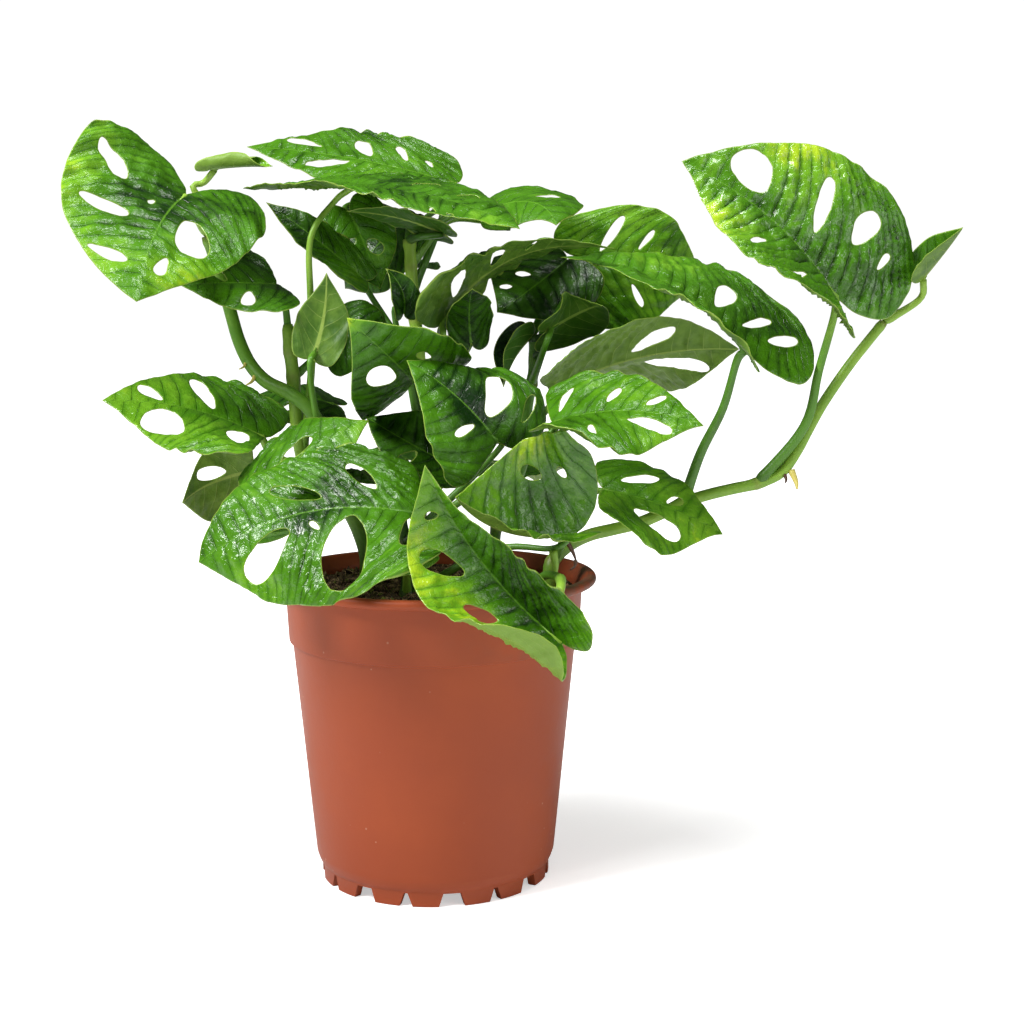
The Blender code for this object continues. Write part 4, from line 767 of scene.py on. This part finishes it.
def bladeRelief(name, leaf, blade, plan, rimDistance):
    # how far the blade rises over its plain surface, the rib's groove and ridge, and the shading values,
    # among them the painted shade of the valleys between swellings and beside the rib
    b = leafBuild
    along, out = plan[:, 0] / blade.length, plan[:, 1]
    fromRib = np.abs(out)
    share = fromRib / np.where(out > 0, leaf["width"][0], leaf["width"][1])
    # side veins leave the rib steeply and bend towards the tip
    bendAhead = b["bendAhead"][0] * share + b["bendAhead"][1] * share ** 2
    phase = (along - bendAhead) / (1 - bendAhead) * blade.length / leaf.get("veinGap", b["veinGap"])
    phase = phase + np.where(out > 0, 0.0, b["shift"])
    middle = blade.points(along, out)
    seed = sum(ord(letter) for letter in name)
    size = blade.length / 100
    fromVein = 0.5 - np.abs(phase - np.floor(phase) - 0.5)
    swell = np.sin(np.clip(fromVein / b["swell"], 0, 1) * math.pi / 2)
    puff = swell - b["sink"] - b["twin"] * np.cos(phase * 4 * math.pi) * swell
    calm = np.clip(rimDistance / b["calm"], 0, 1) * np.clip(fromRib / b["ribFlat"], 0, 1)
    drawn = leaf.get("quilt", 1.0)

    def rippled(key):
        change, reach = b[key]
        return ripple(middle, seed + change, reach)

    uneven = b["uneven"][0] + b["uneven"][1] * rippled("unevenRipple")
    quilt = drawn * b["quilt"] * size * puff * calm * uneven
    pucker = b["pucker"] * size * rippled("puckerRipple") * calm * drawn
    lumps = b["lumps"] * size * ripple(middle, seed, b["lumpsFrom"] + b["lumpsMore"] * size)
    turn = phase * b["waveTurn"][0] + seed + np.sin(phase * b["waveTurn"][1])
    wavy = leaf.get("wave", b["wave"]) * size * share ** 2 * np.sin(turn)
    wavy *= np.clip(1.2 - along, 0, 1) * np.where(along > 0, 1, 0.5)
    lift = quilt + pucker + lumps * np.clip(fromRib / b["lumpFlat"], 0, 1) + wavy
    ribTaper = np.clip(1.05 - along, 0.05, 1) ** 0.7 * size ** 0.5
    groove = b["groove"] * ribTaper * bell(out, b["grooveWide"])
    ridge = b["ridge"] * ribTaper * bell(out, b["ridgeWide"]) * np.clip(rimDistance, 0, 1)
    ridge = ridge + b["veinRidge"] * size * np.clip(1 - fromVein / b["veinWide"], 0, 1) * calm
    # painted shade: the valleys between swellings and the channel beside the rib are darkened in the leaf's
    # colour
    ribValleyShadow = b["ribValleyShadow"] * bell(out, b["valleyWide"]) * np.clip(1.1 - along, 0, 1)
    values = {"valleyShadow": np.clip(b["valleyShadow"] - puff * calm, 0, 1) * calm + ribValleyShadow, "along": along,
              "ribOut": fromRib, "veinPhase": phase, "rimDistance": rimDistance}
    return middle, lift, groove, ridge, values


def buildLeaf(name, leaf):
    blade = Blade(leaf)
    plan, faces, rimDistance = leafPlan(blade)
    middle, lift, groove, ridge, values = bladeRelief(name, leaf, blade, plan, rimDistance)
    full = np.clip(rimDistance / leafBuild["rimRing"], 0, 1)
    half = blend((leafBuild["edge"], leafBuild["thickness"]), np.sqrt(full)) / 2
    normal = blade.normals(values["along"], plan[:, 1])
    top = middle + normal * (lift + half - groove * full)[:, None]
    bottom = middle + normal * (lift - half - ridge)[:, None]
    tone = np.full(len(plan), leaf.get("tone", 0.0))
    for side, toward, reachOut, radius, change in leaf.get("patches", ()):
        centre = np.array([toward * blade.length, reachOut * blade.width(side) * side])
        tone += change * np.exp(-((plan - centre) ** 2).sum(1) / (2 * radius ** 2))
    values.update(tone=tone, shine=np.full(len(plan), leaf.get("shine", leafFinish["coat"])))
    count = len(plan)
    used = {pair for a, b, c in faces.tolist() for pair in ((a, b), (b, c), (c, a))}
    edgeFaces = [[b, a, a + count, b + count] for a, b in sorted(used) if (b, a) not in used]
    allFaces = faces.tolist() + (faces[:, ::-1] + count).tolist() + edgeFaces
    kinds = [0] * len(faces) + [1] * len(faces) + [0] * len(edgeFaces)
    makePiece("foliage_" + name, np.vstack([top, bottom]), allFaces, [leafUpper, leafUnder],
              ["leaf_" + name], {key: np.tile(numbers, 2) for key, numbers in values.items()}, kinds)
    return 2 * (len(faces) + len(edgeFaces))


leafTriangles = sum(buildLeaf(name, leaf) for name, leaf in leaves.items())
print("leaves made:", len(leaves), "with", leafTriangles, "triangles")


# Stems and leaf stalks. A petiole is (leaf, where it starts as a share of the stem, points on its way), and
# in one case also how far it leans before the leaf.
stems = {
    "stem_left": dict(
        points=[(-36, 8, 172), (-46, 6, 198), (-58, 4, 235), (-69, 5, 252), (-81, 10, 257),
                (-93, 18, 265), (-102, 24, 281), (-108, 28, 302), (-113, 30, 319), (-118, 30, 336)],
        radius=(4.2, 3.3),
        petioles=[("upper_left", 0.97, []),
                  ("new_left", 0.99, [(-120, 42, 350), (-127, 44, 362)]),
                  ("left_mid", 0.3, [(-67, 9, 215)]),
                  ("pale_under", 0.2, [(-56, -6, 226), (-61, -11, 252)]),
                  ("left_low", 0.25, [(-66, 18, 206)])]),
    "stem_tall": dict(
        points=[(-30, 30, 180), (-66, 22, 215), (-72, 20, 236), (-73, 19, 256), (-75, 19, 277),
                (-76, 20, 290)],
        radius=(4.0, 3.3),
        petioles=[("upper_mid_left", 0.93, []),
                  ("top_front", 0.5, [(-63, 12, 273), (-63, 6, 305), (-62, 2, 335)]),
                  ("mid_back", 0.85, []),
                  ("left_back", 0.45, [])]),
    "stem_centre": dict(
        points=[(-8, 18, 180), (-6, 16, 208), (-6, 17, 240), (-7, 19, 271), (-9, 20, 290),
                (-11, 23, 315), (-12, 26, 334)],
        radius=(3.8, 3.0),
        petioles=[("top_back", 0.98, [(14, 42, 350)]),
                  ("back_left", 0.85, [(6, 54, 350)]),
                  ("centre_tall", 0.4, []),
                  ("left_upper", 0.97, [(-14, 46, 345), (-32, 55, 354)]),
                  ("cross_dark", 0.62, []),
                  ("top_shade", 0.97, []),
                  ("crumpled", 0.45, []),
                  ("centre_low", 0.2, []),
                  ("torn", 0.45, []),
                  ("long_under", 0.5, []),
                  ("back_high", 0.75, []),
                  ("back_low", 0.15, []),
                  ("back_wide", 0.1, []),
                  ("top_right", 0.9, [(8, 40, 344)])]),
    "stem_right": dict(
        points=[(60, -4, 163), (67, 2, 171), (77, 8, 177), (90, 12, 180), (104, 14, 183),
                (115, 15, 186), (136, 16, 196), (159, 16, 202), (176, 16, 206), (188, 15, 213),
                (197, 14, 229), (206, 14, 246), (221, 13, 269), (238, 12, 291)],
        radius=(3.7, 2.6),
        petioles=[("right_arch", 0.38, [(141, 8, 222), (151, -2, 247)], 0),
                  ("upper_right", 0.58, [(196, 8, 236), (202, 3, 266)]),
                  ("new_right", 0.99, []),
                  ("right_low", 0.08, [])]),
    "stem_right_back": dict(
        points=[(34, 34, 180), (48, 36, 212), (50, 38, 236), (54, 38, 264), (54, 36, 284)],
        radius=(3.2, 2.6),
        petioles=[("mid_right_under", 0.85, []),
                  ("right_back", 0.85, [(60, 56, 284), (70, 71, 307)]),
                  ("dark_rolled", 0.9, []),
                  ("mid_right", 0.95, []),
                  ("right_under", 0.6, []),
                  ("back_right", 0.2, [])]),
    "stem_front": dict(
        points=[(-14, -24, 176), (-17, -24, 192), (-16, -23, 208)],
        radius=(3.6, 2.8),
        petioles=[("centre", 0.6, []),
                  ("right_front", 0.5, []),
                  ("centre_curled", 0.1, [(30, -34, 178)]),
                  ("front_low", 0.1, [(-14, -38, 173)]),
                  ("front_left", 0.5, []),
                  ("left_front", 0.7, [])]),
    "stem_low": dict(
        points=[(52, -34, 160), (56, -46, 167), (62, -60, 168)],
        radius=(2.4, 2.0),
        petioles=[("front_hanging", 0.9, [(60, -84, 166)])]),
}
stemBuild = {
    "sides": 14, "step": 3.0, "cadStep": 14.0, "soilTop": 149.5, "mound": 1.5, "depth": 22.0, "tip": 0.75,
    "swell": 0.16, "swellReach": 3.2, "ring": 0.55, "ringReach": 1.3,  # where a stalk leaves the stem
    "stalkSides": 10, "stalkStep": 2.5, "stalkRadius": (2.3, 1.35), "foot": 0.28, "footReach": 7,
    "neck": 0.22, "neckReach": 9, "neckAt": 0.9, "start": (0.5, 0.85), "end": (0.9, 0.35),
    "underLeaf": 0.9, "intoLeaf": 2, "approachUnder": 6, "ribPlaces": (0.05, 0.12), "ribUnder": 0.7,
    "tipPaler": 0.15, "stalkTone": (-0.1, 0.15), "nubSides": 8, "nubTip": 0.3, "nubTone": 0.7}
stemFinish = {"green": (0.085, 0.235, 0.014), "pale": (0.27, 0.46, 0.045), "dark": (0.010, 0.040, 0.006),
              "ring": (0.20, 0.17, 0.05), "cream": (0.66, 0.56, 0.14), "brown": (0.075, 0.032, 0.014),
              "softShade": 0.9, "fineShade": 0.35, "specular": 0.45, "roughness": 0.42,
              "bump": (0.35, 0.0006)}
# stem_front's dark tone is painted shade, for where it stands deep in the shade of the leaves
stemTones = {"stem_left": 0.15, "stem_tall": 0.5, "stem_centre": 1.3, "stem_right": 0.5,
             "stem_right_back": -0.3, "stem_front": -0.9, "stem_low": -0.2}
# the colour of each leaf stalk at its foot and under its leaf, from dark (-1) to pale (1)
stalkTones = {"right_arch": (-0.55, -0.3), "upper_right": (-0.5, 0.6), "top_front": (0.35, 0.6),
              "pale_under": (-0.1, 0.2), "new_left": (0.9, 1.1), "new_right": (0.6, 0.9),
              "front_hanging": (0.45, 0.9), "centre_curled": (-0.5, -0.2), "centre": (-0.6, -0.3),
              "front_left": (-0.9, -0.5), "left_front": (-0.5, -0.2), "right_front": (0.1, 0.3),
              "right_low": (0.1, 0.3), "top_back": (0.1, 0.4), "top_right": (0.2, 0.5),
              "back_left": (-0.5, -0.2), "long_under": (0.2, 0.5), "left_upper": (-0.4, -0.2),
              "centre_low": (-0.6, -0.4), "upper_left": (0.6, 0.9), "left_mid": (0.3, 0.6),
              "dark_rolled": (-1.0, -0.9), "cross_dark": (-0.5, -0.3), "top_shade": (-0.7, -0.6),
              "crumpled": (-0.6, -0.5), "front_low": (0.5, 0.7)}
# stalks that are thicker than the others
stalkWidths = {"right_arch": 1.3, "upper_right": 1.3, "left_mid": 1.15, "front_hanging": 1.15}
# small nubs and air roots: (stem, from, to, radius, kind)
nubs = [
    ("stem_right", (191, 14, 212), (193, 8, 203), 2.0, "cream"),
    ("stem_right", (187, 14, 211), (187, 10, 206), 1.2, "brown"),
    ("stem_left", (-93, 16, 264), (-97, 8, 259), 1.3, "cream"),
    ("stem_left", (-98, 20, 271), (-101, 12, 267), 1.0, "cream"),
    ("stem_low", (66, -32, 184), (72, -31, 172), 1.6, "brown"),
    ("stem_low", (72, -31, 172), (69, -32, 167), 1.1, "brown"),
    ("stem_low", (59, -50, 180), (60, -50, 167), 2.3, "light")]


def stemMaterial():
    look = stemFinish
    material, graph, shader = startMaterial(
        "stemSkin", look["roughness"], Specular_IOR_Level=look["specular"])
    soft, fine = placeGroup(graph, mottle, Blotch=45.0, Grain=520.0)
    shade = graph.total((graph.attribute("tone"), 1.0), (graph.centred(soft), look["softShade"]),
                        (graph.centred(fine), look["fineShade"]))
    colour = graph.steps(shade, look["dark"], ((-1.2, 0.0), look["green"]), ((0.0, 1.0), look["pale"]))
    for key in ("ring", "cream", "brown"):
        colour = graph.mix(graph.attribute(key), colour, look[key])
    graph.feed(shader.inputs["Base Color"], colour)
    graph.bump(shader, *look["bump"], fine)
    return material


stemSkin = stemMaterial()


def stemPath(stem):
    # from below the soil straight up to just above it, then along the stem's points
    b = stemBuild
    x, y, _ = stem["points"][0]
    rise = smoothPath([(x, y, b["soilTop"] + b["mound"] + 2)] + list(stem["points"]), 6)
    return np.vstack([[(x, y, b["soilTop"] - b["depth"])], evenly(rise, b["cadStep"])])


def stalkPath(stem, leafName, share, via, lean=9):
    # from the stem to the leaf's base, then a little way under its rib
    b = stemBuild
    blade = Blade(leaves[leafName])
    base = blade.points([0], [0])[0]
    ahead = unit(blade.points([0.03], [0])[0] - base)
    up = blade.normals(np.zeros(1), np.zeros(1))[0]
    end = base - up * b["underLeaf"] + ahead * b["intoLeaf"]
    path = stemPath(stem)
    start = path[1 + int(round(share * (len(path) - 2)))]
    heading = unit(end - (via[-1] if via else start))
    approach = end - ahead * (lean if heading.dot(ahead) > -0.2 else -lean) - up * b["approachUnder"]
    places = np.array(b["ribPlaces"])
    under = blade.points(places, 0 * places) - blade.normals(places, 0 * places) * b["ribUnder"]
    rise = evenly(smoothPath([start, *via, approach, end], 6), b["stalkStep"])
    return np.vstack([rise, under]), start


def stalkThickness(leafName, count):
    b = stemBuild
    run = np.linspace(0, 1, count)
    length = b["step"] * count
    foot = bell(run * length, b["footReach"])
    neck = bell((1 - run) * length / b["neckReach"] - b["neckAt"], 1)
    thick = blend(b["stalkRadius"], run) * (1 + b["foot"] * foot + b["neck"] * neck)
    thick = thick * stalkWidths.get(leafName, 1.0)
    thick[:2] *= b["start"]
    thick[-2:] = b["end"]
    return thick


def buildStem(name, stem):
    b = stemBuild
    heap = Heap()
    path = evenly(smoothPath(stemPath(stem), 5), b["step"])
    share = np.linspace(0, 1, len(path))
    radius = blend(stem["radius"], share)
    ring = np.zeros(len(path))
    for leafName, *rest in stem["petioles"]:
        stalk, start = stalkPath(stem, leafName, *rest)
        gap = np.linalg.norm(path - start, axis=1)
        radius = radius * (1 + b["swell"] * bell(gap, b["swellReach"]))
        ring = np.maximum(ring, b["ring"] * bell(gap, b["ringReach"]))
        points, faces = tubeMesh(stalk, stalkThickness(leafName, len(stalk)), b["stalkSides"])
        tones = blend(stalkTones.get(leafName, b["stalkTone"]), np.linspace(0, 1, len(stalk)))
        heap.add(points, faces, tone=np.repeat(tones, b["stalkSides"]), ring=0.0, cream=0.0, brown=0.0)
    radius[-1] *= b["tip"]
    points, faces = tubeMesh(path, radius, b["sides"])
    tones = np.repeat(stemTones[name] + b["tipPaler"] * share, b["sides"])
    heap.add(points, faces, tone=tones, ring=np.repeat(ring, b["sides"]), cream=0.0, brown=0.0)
    for owner, low, high, thick, kind in nubs:
        if owner == name:
            between = np.array(low) * 0.45 + np.array(high) * 0.55 + (0.8, 0, -0.6)
            line = smoothPath([low, between, high], 4)
            radii = np.linspace(thick, thick * b["nubTip"], len(line))
            points, faces = tubeMesh(line, radii, b["nubSides"])
            cream, brown = float(kind == "cream"), float(kind == "brown")
            heap.add(points, faces, tone=b["nubTone"], ring=0.0, cream=cream, brown=brown)
    heap.make("vine_" + name[5:], [stemSkin], [name])


for name, stem in stems.items():
    buildStem(name, stem)
print("stems made:", len(stems))


# Pot: a turned shell with a notched foot ring.
potBuild = {"sides": 192, "rim": 85.0, "height": 161.0, "mouth": 78.8, "collarTop": 77.6, "collarFoot": 76.0,
            "collarAt": 127.0, "wallTop": 74.2, "wallFoot": 62.6, "wall": 1.9, "foot": 60.4, "footWidth": 4.5,
            "footHeight": 8.5, "floor": 11.0, "hub": 3.0, "notches": 8, "turn": 7.7, "wide": (13.5, 9.0),
            "small": (7.0, 2.0), "notchHigh": 7.0, "rimHigh": 4.8, "corner": 0.9, "sway": 0.25, "sharp": 38}
potFinish = {"clay": (0.31, 0.060, 0.018), "deep": (0.28, 0.052, 0.016), "light": (0.34, 0.070, 0.023),
             "dust": (0.55, 0.33, 0.22), "dirtAndShade": (0.13, 0.07, 0.045), "dustShare": 0.55, "specks": 150.0,
             "roughness": 0.46, "rougher": (-0.06, 0.10), "specular": 0.22, "bump": (0.12, 0.0004)}


def potMaterial():
    look = potFinish
    material, graph, shader = startMaterial(
        "potPlastic", look["roughness"], Specular_IOR_Level=look["specular"])
    soft, fine = placeGroup(graph, mottle, Blotch=16.0, Grain=380.0)
    place = graph.place()
    few = graph.math("MULTIPLY", graph.ramp(graph.cells("F1", look["specks"]), 0.05, 0.11, 1.0, 0.0),
                     graph.ramp(graph.noise(38.0, 2.0, place), 0.55, 0.66))
    # dark patches: real weathering on the rim's right side, and a third as much on the collar's right side as
    # painted shade under the leaves
    wornAndShaded = graph.math("MULTIPLY", graph.attribute("wearAndShade"),
                      graph.ramp(graph.noise(55.0, 4.0, place), 0.35, 0.62))
    colour = graph.steps(soft, look["deep"], ((0.3, 0.7), look["clay"]),
                         ((0.55, 0.85, 0.0, 0.5), look["light"]))
    colour = graph.coats(colour, (few, look["dustShare"], look["dust"]), (wornAndShaded, 1.0, look["dirtAndShade"]))
    graph.feed(shader.inputs["Base Color"], colour)
    gloss = graph.ramp(soft, 0.3, 0.8, *[look["roughness"] + more for more in look["rougher"]])
    graph.feed(shader.inputs["Roughness"], gloss)
    graph.bump(shader, *look["bump"], graph.math("ADD", fine, few))
    return material


def potNotches():
    # the notches of the foot ring, wide and small in turn: width below and above, and angle
    b = potBuild
    for k in range(b["notches"]):
        for (low, high), extra in ((b["wide"], 0.0), (b["small"], 180.0 / b["notches"])):
            yield low, high, math.radians(-90 + b["turn"] + 360 * k / b["notches"] + extra)


def footEdge(angle):
    # height of the foot ring's lower edge at an angle
    b = potBuild
    height = 0.0
    for low, high, middle in potNotches():
        away = abs((angle - middle + math.pi) % fullTurn - math.pi) * b["foot"]
        rise = (low / 2 - away) / (low / 2 - high / 2)
        height = max(height, b["notchHigh"] * min(1.0, max(0.0, rise)))
    return height


def potAngles():
    # even steps round the pot, with the notches' corners in place of the steps next to them
    b = potBuild
    angles = list(np.linspace(0, fullTurn, b["sides"], endpoint=False))
    for low, high, middle in potNotches():
        corners = [(middle + s * w / 2 / b["foot"]) % fullTurn for s in (-1, 1) for w in (low, high)]
        angles = [a for a in angles if min(abs(a - c) for c in corners) > 0.012] + corners
    return sorted(angles)


def softCorners(profile, radius):
    # rounds each corner of a (radius, height) profile
    line = [profile[0]]
    for before, here, after in zip(profile, profile[1:], profile[2:]):
        before, here, after = (np.array(p[:2], float) for p in (before, here, after))
        reach = min(radius, np.linalg.norm(here - before) * 0.45, np.linalg.norm(after - here) * 0.45)
        start = here + unit(before - here) * reach
        end = here + unit(after - here) * reach
        for t in (0.0, 0.5, 1.0):
            line.append(tuple((1 - t) ** 2 * start + 2 * t * (1 - t) * here + t * t * end))
    line.append(profile[-1])
    return line


def insideWall(height):
    b = potBuild
    share = (height - b["floor"]) / (b["collarAt"] - b["floor"])
    return b["wallFoot"] - b["wall"] + (b["wallTop"] - b["wallFoot"]) * share


def potProfile():
    # from the foot up the outside, over the rim and down the inside to the floor
    b = potBuild
    top, height, foot = b["height"] - b["rimHigh"], b["height"], b["footHeight"]
    return softCorners([
        (b["foot"], foot - 1.0), (b["foot"] + 0.4, foot - 0.4), (b["wallFoot"] - 0.8, foot + 1),
        (b["wallFoot"] + 0.6, foot + 5), (b["wallTop"], b["collarAt"] - 0.2),
        (b["collarFoot"], b["collarAt"]), (b["collarTop"], top), (b["rim"] - 1, top + 0.3),
        (b["rim"], top + 1.6), (b["rim"] - 0.2, height - 1.2), (b["rim"] - 1.4, height),
        (b["mouth"] + 1, height), (b["mouth"], height - 1.2),
        (b["collarTop"] - b["wall"], top - 2), (b["collarFoot"] - b["wall"], b["collarAt"] + 1.5),
        (insideWall(b["collarAt"]), b["collarAt"]), (insideWall(b["floor"]), b["floor"]),
        (b["hub"], b["floor"])], b["corner"])


def buildPot():
    b = potBuild
    angles = potAngles()
    count = len(angles)
    points, wearAndShade, rings = [], [], []

    def addRing(heights, radius, wornAndShaded=0.0):
        rings.append(len(points))
        for angle, height in zip(angles, heights):
            sway = b["sway"] * math.sin(2 * angle + 0.7) * min(1.0, height / 150)
            points.append(((radius + sway) * math.cos(angle), (radius + sway) * math.sin(angle), height))
            wearAndShade.append(wornAndShaded * max(0.0, math.cos(angle + 0.35)) ** 2)

    edge = np.array([footEdge(angle) for angle in angles])
    rounded = edge + 0.3 * (edge < 1)
    flat = np.full(count, b["footHeight"])
    inner = b["foot"] - b["footWidth"]
    for heights, radius in ((flat, b["hub"]), (flat, inner), (rounded, inner), (edge, inner + 0.4),
                            (edge, b["foot"] - 0.4), (rounded, b["foot"])):
        addRing(heights, radius)
    for radius, height in potProfile():
        onRim = height > b["height"] - b["rimHigh"] - 0.5 and radius > b["mouth"] - 0.5
        # weathered on the rim; on the collar and above, the same dark patches at a third are painted shade
        addRing(np.full(count, height), radius, 1.0 if onRim else 0.35 if height > b["collarAt"] else 0.0)
    faces = ringFaces(rings, count)
    faces.append([rings[0] + k for k in range(count)][::-1])
    faces.append([rings[-1] + k for k in range(count)])
    piece = makePiece("nursery_pot", points, faces, [potMaterial()], ["pot"],
                      {"wearAndShade": wearAndShade})
    piece.data.set_sharp_from_angle(angle=math.radians(b["sharp"]))


buildPot()
print("pot made")


# Soil: a lumpy surface with crumbs, moss and fibres.
soilBuild = {"radius": 75.0, "raise": 2.4, "mound": 1.6, "ripples": ((1.2, 3, 34), (0.9, 5, 9)), "rings": 46,
             "turns": 150, "skirt": 0.985, "deep": 16, "crumbs": 1500, "crumbReach": 0.97, "fibres": 420,
             "fibreReach": 0.92, "fibreEnd": 0.96, "fibreParts": 5, "turn": 6.283, "seed": 7}
soilFinish = {"peat": (0.040, 0.026, 0.014), "crumb": (0.21, 0.135, 0.065), "fibre": (0.42, 0.30, 0.15),
              "moss": (0.17, 0.19, 0.035), "roughness": 0.92, "specular": 0.2, "bump": (0.8, 0.0012)}
crumbKinds = {0.0: 0.62, 0.75: 0.2, 2.0: 0.18}  # peat, fibre and moss, with the share of each
lump = np.array([(1, 0, 0), (-1, 0, 0), (0, 1, 0), (0, -1, 0), (0, 0, 1), (0, 0, -1)])
lumpFaces = [[0, 2, 4], [2, 1, 4], [1, 3, 4], [3, 0, 4], [2, 0, 5], [1, 2, 5], [3, 1, 5], [0, 3, 5]]


def soilMaterial():
    look = soilFinish
    material, graph, shader = startMaterial(
        "pottingSoil", look["roughness"], Specular_IOR_Level=look["specular"])
    soft, fine = placeGroup(graph, mottle, Blotch=160.0, Grain=900.0)
    colour = graph.steps(fine, look["peat"], ((0.35, 0.75), look["crumb"]))
    colour = graph.steps(graph.attribute("kind"), colour, ((0.5, 1.0), look["fibre"]),
                         ((1.5, 2.0), look["moss"]))
    colour = graph.steps(soft, colour, ((0.3, 0.8, 0.5, 0.0), look["peat"]))
    graph.feed(shader.inputs["Base Color"], colour)
    graph.bump(shader, *look["bump"], fine)
    return material


def soilHeight(x, y):
    b = soilBuild
    x, y = np.atleast_1d(x), np.atleast_1d(y)
    place = np.stack([x, y, np.zeros_like(x)], 1)
    height = stemBuild["soilTop"] + b["raise"] + b["mound"] * (1 - (x ** 2 + y ** 2) / b["radius"] ** 2)
    for rise, seed, size in b["ripples"]:
        height = height + rise * ripple(place, seed, size)
    return height


def soilDisc():
    # rings from the middle outwards, and one below the edge as a skirt
    b = soilBuild
    points = []
    for ring in range(b["rings"] + 1):
        radius = b["radius"] * ring / b["rings"]
        for k in range(b["turns"]):
            angle = fullTurn * k / b["turns"]
            points.append((radius * math.cos(angle), radius * math.sin(angle), 0.0))
    points = np.array(points)
    points[:, 2] = soilHeight(points[:, 0], points[:, 1])
    first = len(points)
    skirt = points[-b["turns"]:] * (b["skirt"], b["skirt"], 0) + (0, 0, stemBuild["soilTop"] - b["deep"])
    starts = range(0, first + b["turns"], b["turns"])
    faces = [[i, l, k, j] for i, j, k, l in ringFaces(starts, b["turns"])]
    faces.append([first + k for k in range(b["turns"])][::-1])
    return np.vstack([points, skirt]), faces


def buildSoil():
    b = soilBuild
    draw = np.random.default_rng(b["seed"])
    heap = Heap()
    heap.add(*soilDisc(), kind=0.0)

    def somewhere(share):
        reach, angle = b["radius"] * share * math.sqrt(draw.uniform()), draw.uniform(0, b["turn"])
        return reach * math.cos(angle), reach * math.sin(angle)

    for _ in range(b["crumbs"]):
        x, y = somewhere(b["crumbReach"])
        size = draw.gamma(3.0, 0.33) + 0.35
        shape = lump * draw.uniform(0.55, 1.25, (6, 1)) * size
        turn = draw.uniform(0, b["turn"])
        over, up = math.cos(turn), math.sin(turn)
        spin = np.array([[over, -up, 0], [up, over, 0.3], [0, -0.3, 1]])
        place = (x, y, soilHeight(x, y)[0] + size * 0.25)
        kind = float(draw.choice(list(crumbKinds), p=list(crumbKinds.values())))
        heap.add(shape @ spin + place, lumpFaces, kind=kind)
    for _ in range(b["fibres"]):
        x, y = somewhere(b["fibreReach"])
        heading, bend, length = draw.uniform(0, b["turn"]), draw.normal(0, 0.5), draw.uniform(2.5, 9)
        line = []
        for t in np.linspace(0, 1, b["fibreParts"]):
            turn = heading + bend * t
            x = x + math.cos(turn) * length / b["fibreParts"]
            y = y + math.sin(turn) * length / b["fibreParts"]
            if math.hypot(x, y) > b["radius"] * b["fibreEnd"]:
                break
            arch = 0.5 + 1.6 * math.sin(math.pi * t) * draw.uniform(0.2, 1)
            line.append((x, y, soilHeight(x, y)[0] + arch))
        if len(line) > 2:
            points, faces = tubeMesh(line, np.full(len(line), draw.uniform(0.12, 0.28)), 4)
            heap.add(points, faces, kind=1.0)
    heap.make("potting_soil", [soilMaterial()], ["soil"])


buildSoil()
print("soil made")


# Studio: a pale floor, soft lights and the camera.
studio = {"floor": (0.90, 0.90, 0.90), "floorHalf": 6, "seen": 1.06, "world": 0.25, "mirrored": 0.07,
          "glow": (0.10, 0.45, 0.5), "aim": (0.03, 0, 0.22), "camera": (0.0, -0.900, 0.316), "lens": 61.0,
          "sensor": 36.0, "tilt": 7.8, "turn": 2.6,
          "lights": [("key", (-1.15, -0.65, 1.4), 0.55, 38.0), ("fill", (1.2, -0.9, 0.7), 0.8, 6.0),
                     ("top", (0.15, -0.25, 1.6), 0.5, 15.0)]}
white = (1.0, 1.0, 1.0, 1.0)


def buildWorld():
    world = bpy.data.worlds.new("studio")
    world.use_nodes = True
    graph = Graph(world.node_tree)
    back = world.node_tree.nodes["Background"]
    graph.feed(back.inputs[0], white)
    # the eye sees a clean white, the plant is lit by less, and its gloss mirrors less again
    paths = graph.node("ShaderNodeLightPath").outputs
    lit = graph.ramp(paths["Is Glossy Ray"], 0.0, 1.0, studio["world"], studio["mirrored"])
    graph.feed(back.inputs[1], graph.ramp(paths["Is Camera Ray"], 0.0, 1.0, lit, studio["seen"]))
    bpy.context.scene.world = world


def buildFloor():
    # it glows for the eye alone and more away from the pot, so that only a soft shadow is left
    half = studio["floorHalf"]
    mesh = bpy.data.meshes.new("floor")
    corners = [(-half, -half, 0), (half, -half, 0), (half, half, 0), (-half, half, 0)]
    mesh.from_pydata(corners, [], [(0, 1, 2, 3)])
    material, graph, shader = startMaterial("paleFloor", 0.9, Specular_IOR_Level=0.0)
    graph.feed(shader.inputs["Base Color"], (*studio["floor"], 1.0))
    apart = graph.node("ShaderNodeVectorMath", operation="LENGTH")
    graph.feed(apart.inputs[0], graph.place())
    seen = graph.node("ShaderNodeLightPath").outputs["Is Camera Ray"]
    glow = graph.ramp(apart.outputs["Value"], *studio["glow"], studio["seen"])
    graph.feed(shader.inputs["Emission Color"], white)
    graph.feed(shader.inputs["Emission Strength"], graph.math("MULTIPLY", glow, seen))
    mesh.materials.append(material)
    floor = bpy.data.objects.new("floor", mesh)
    addToScene(floor)


def buildLights():
    aim = Vector(axisPlace) + Vector(studio["aim"])
    for name, place, size, power in studio["lights"]:
        data = bpy.data.lights.new(name, "AREA")
        data.size = size
        data.energy = power
        lamp = bpy.data.objects.new(name, data)
        lamp.location = place
        lamp.rotation_euler = (aim - Vector(place)).to_track_quat("-Z", "Y").to_euler()
        addToScene(lamp)


def buildCamera():
    lens = bpy.data.cameras.new("camera")
    lens.lens = studio["lens"]
    lens.sensor_width = studio["sensor"]
    camera = bpy.data.objects.new("camera", lens)
    camera.location = Vector(axisPlace) + Vector(studio["camera"])
    camera.rotation_euler = (math.radians(90 - studio["tilt"]), 0, math.radians(-studio["turn"]))
    addToScene(camera)
    bpy.context.scene.camera = camera


buildWorld()
buildFloor()
buildLights()
buildCamera()
bpy.context.scene.view_settings.view_transform = "Standard"
print("studio made")
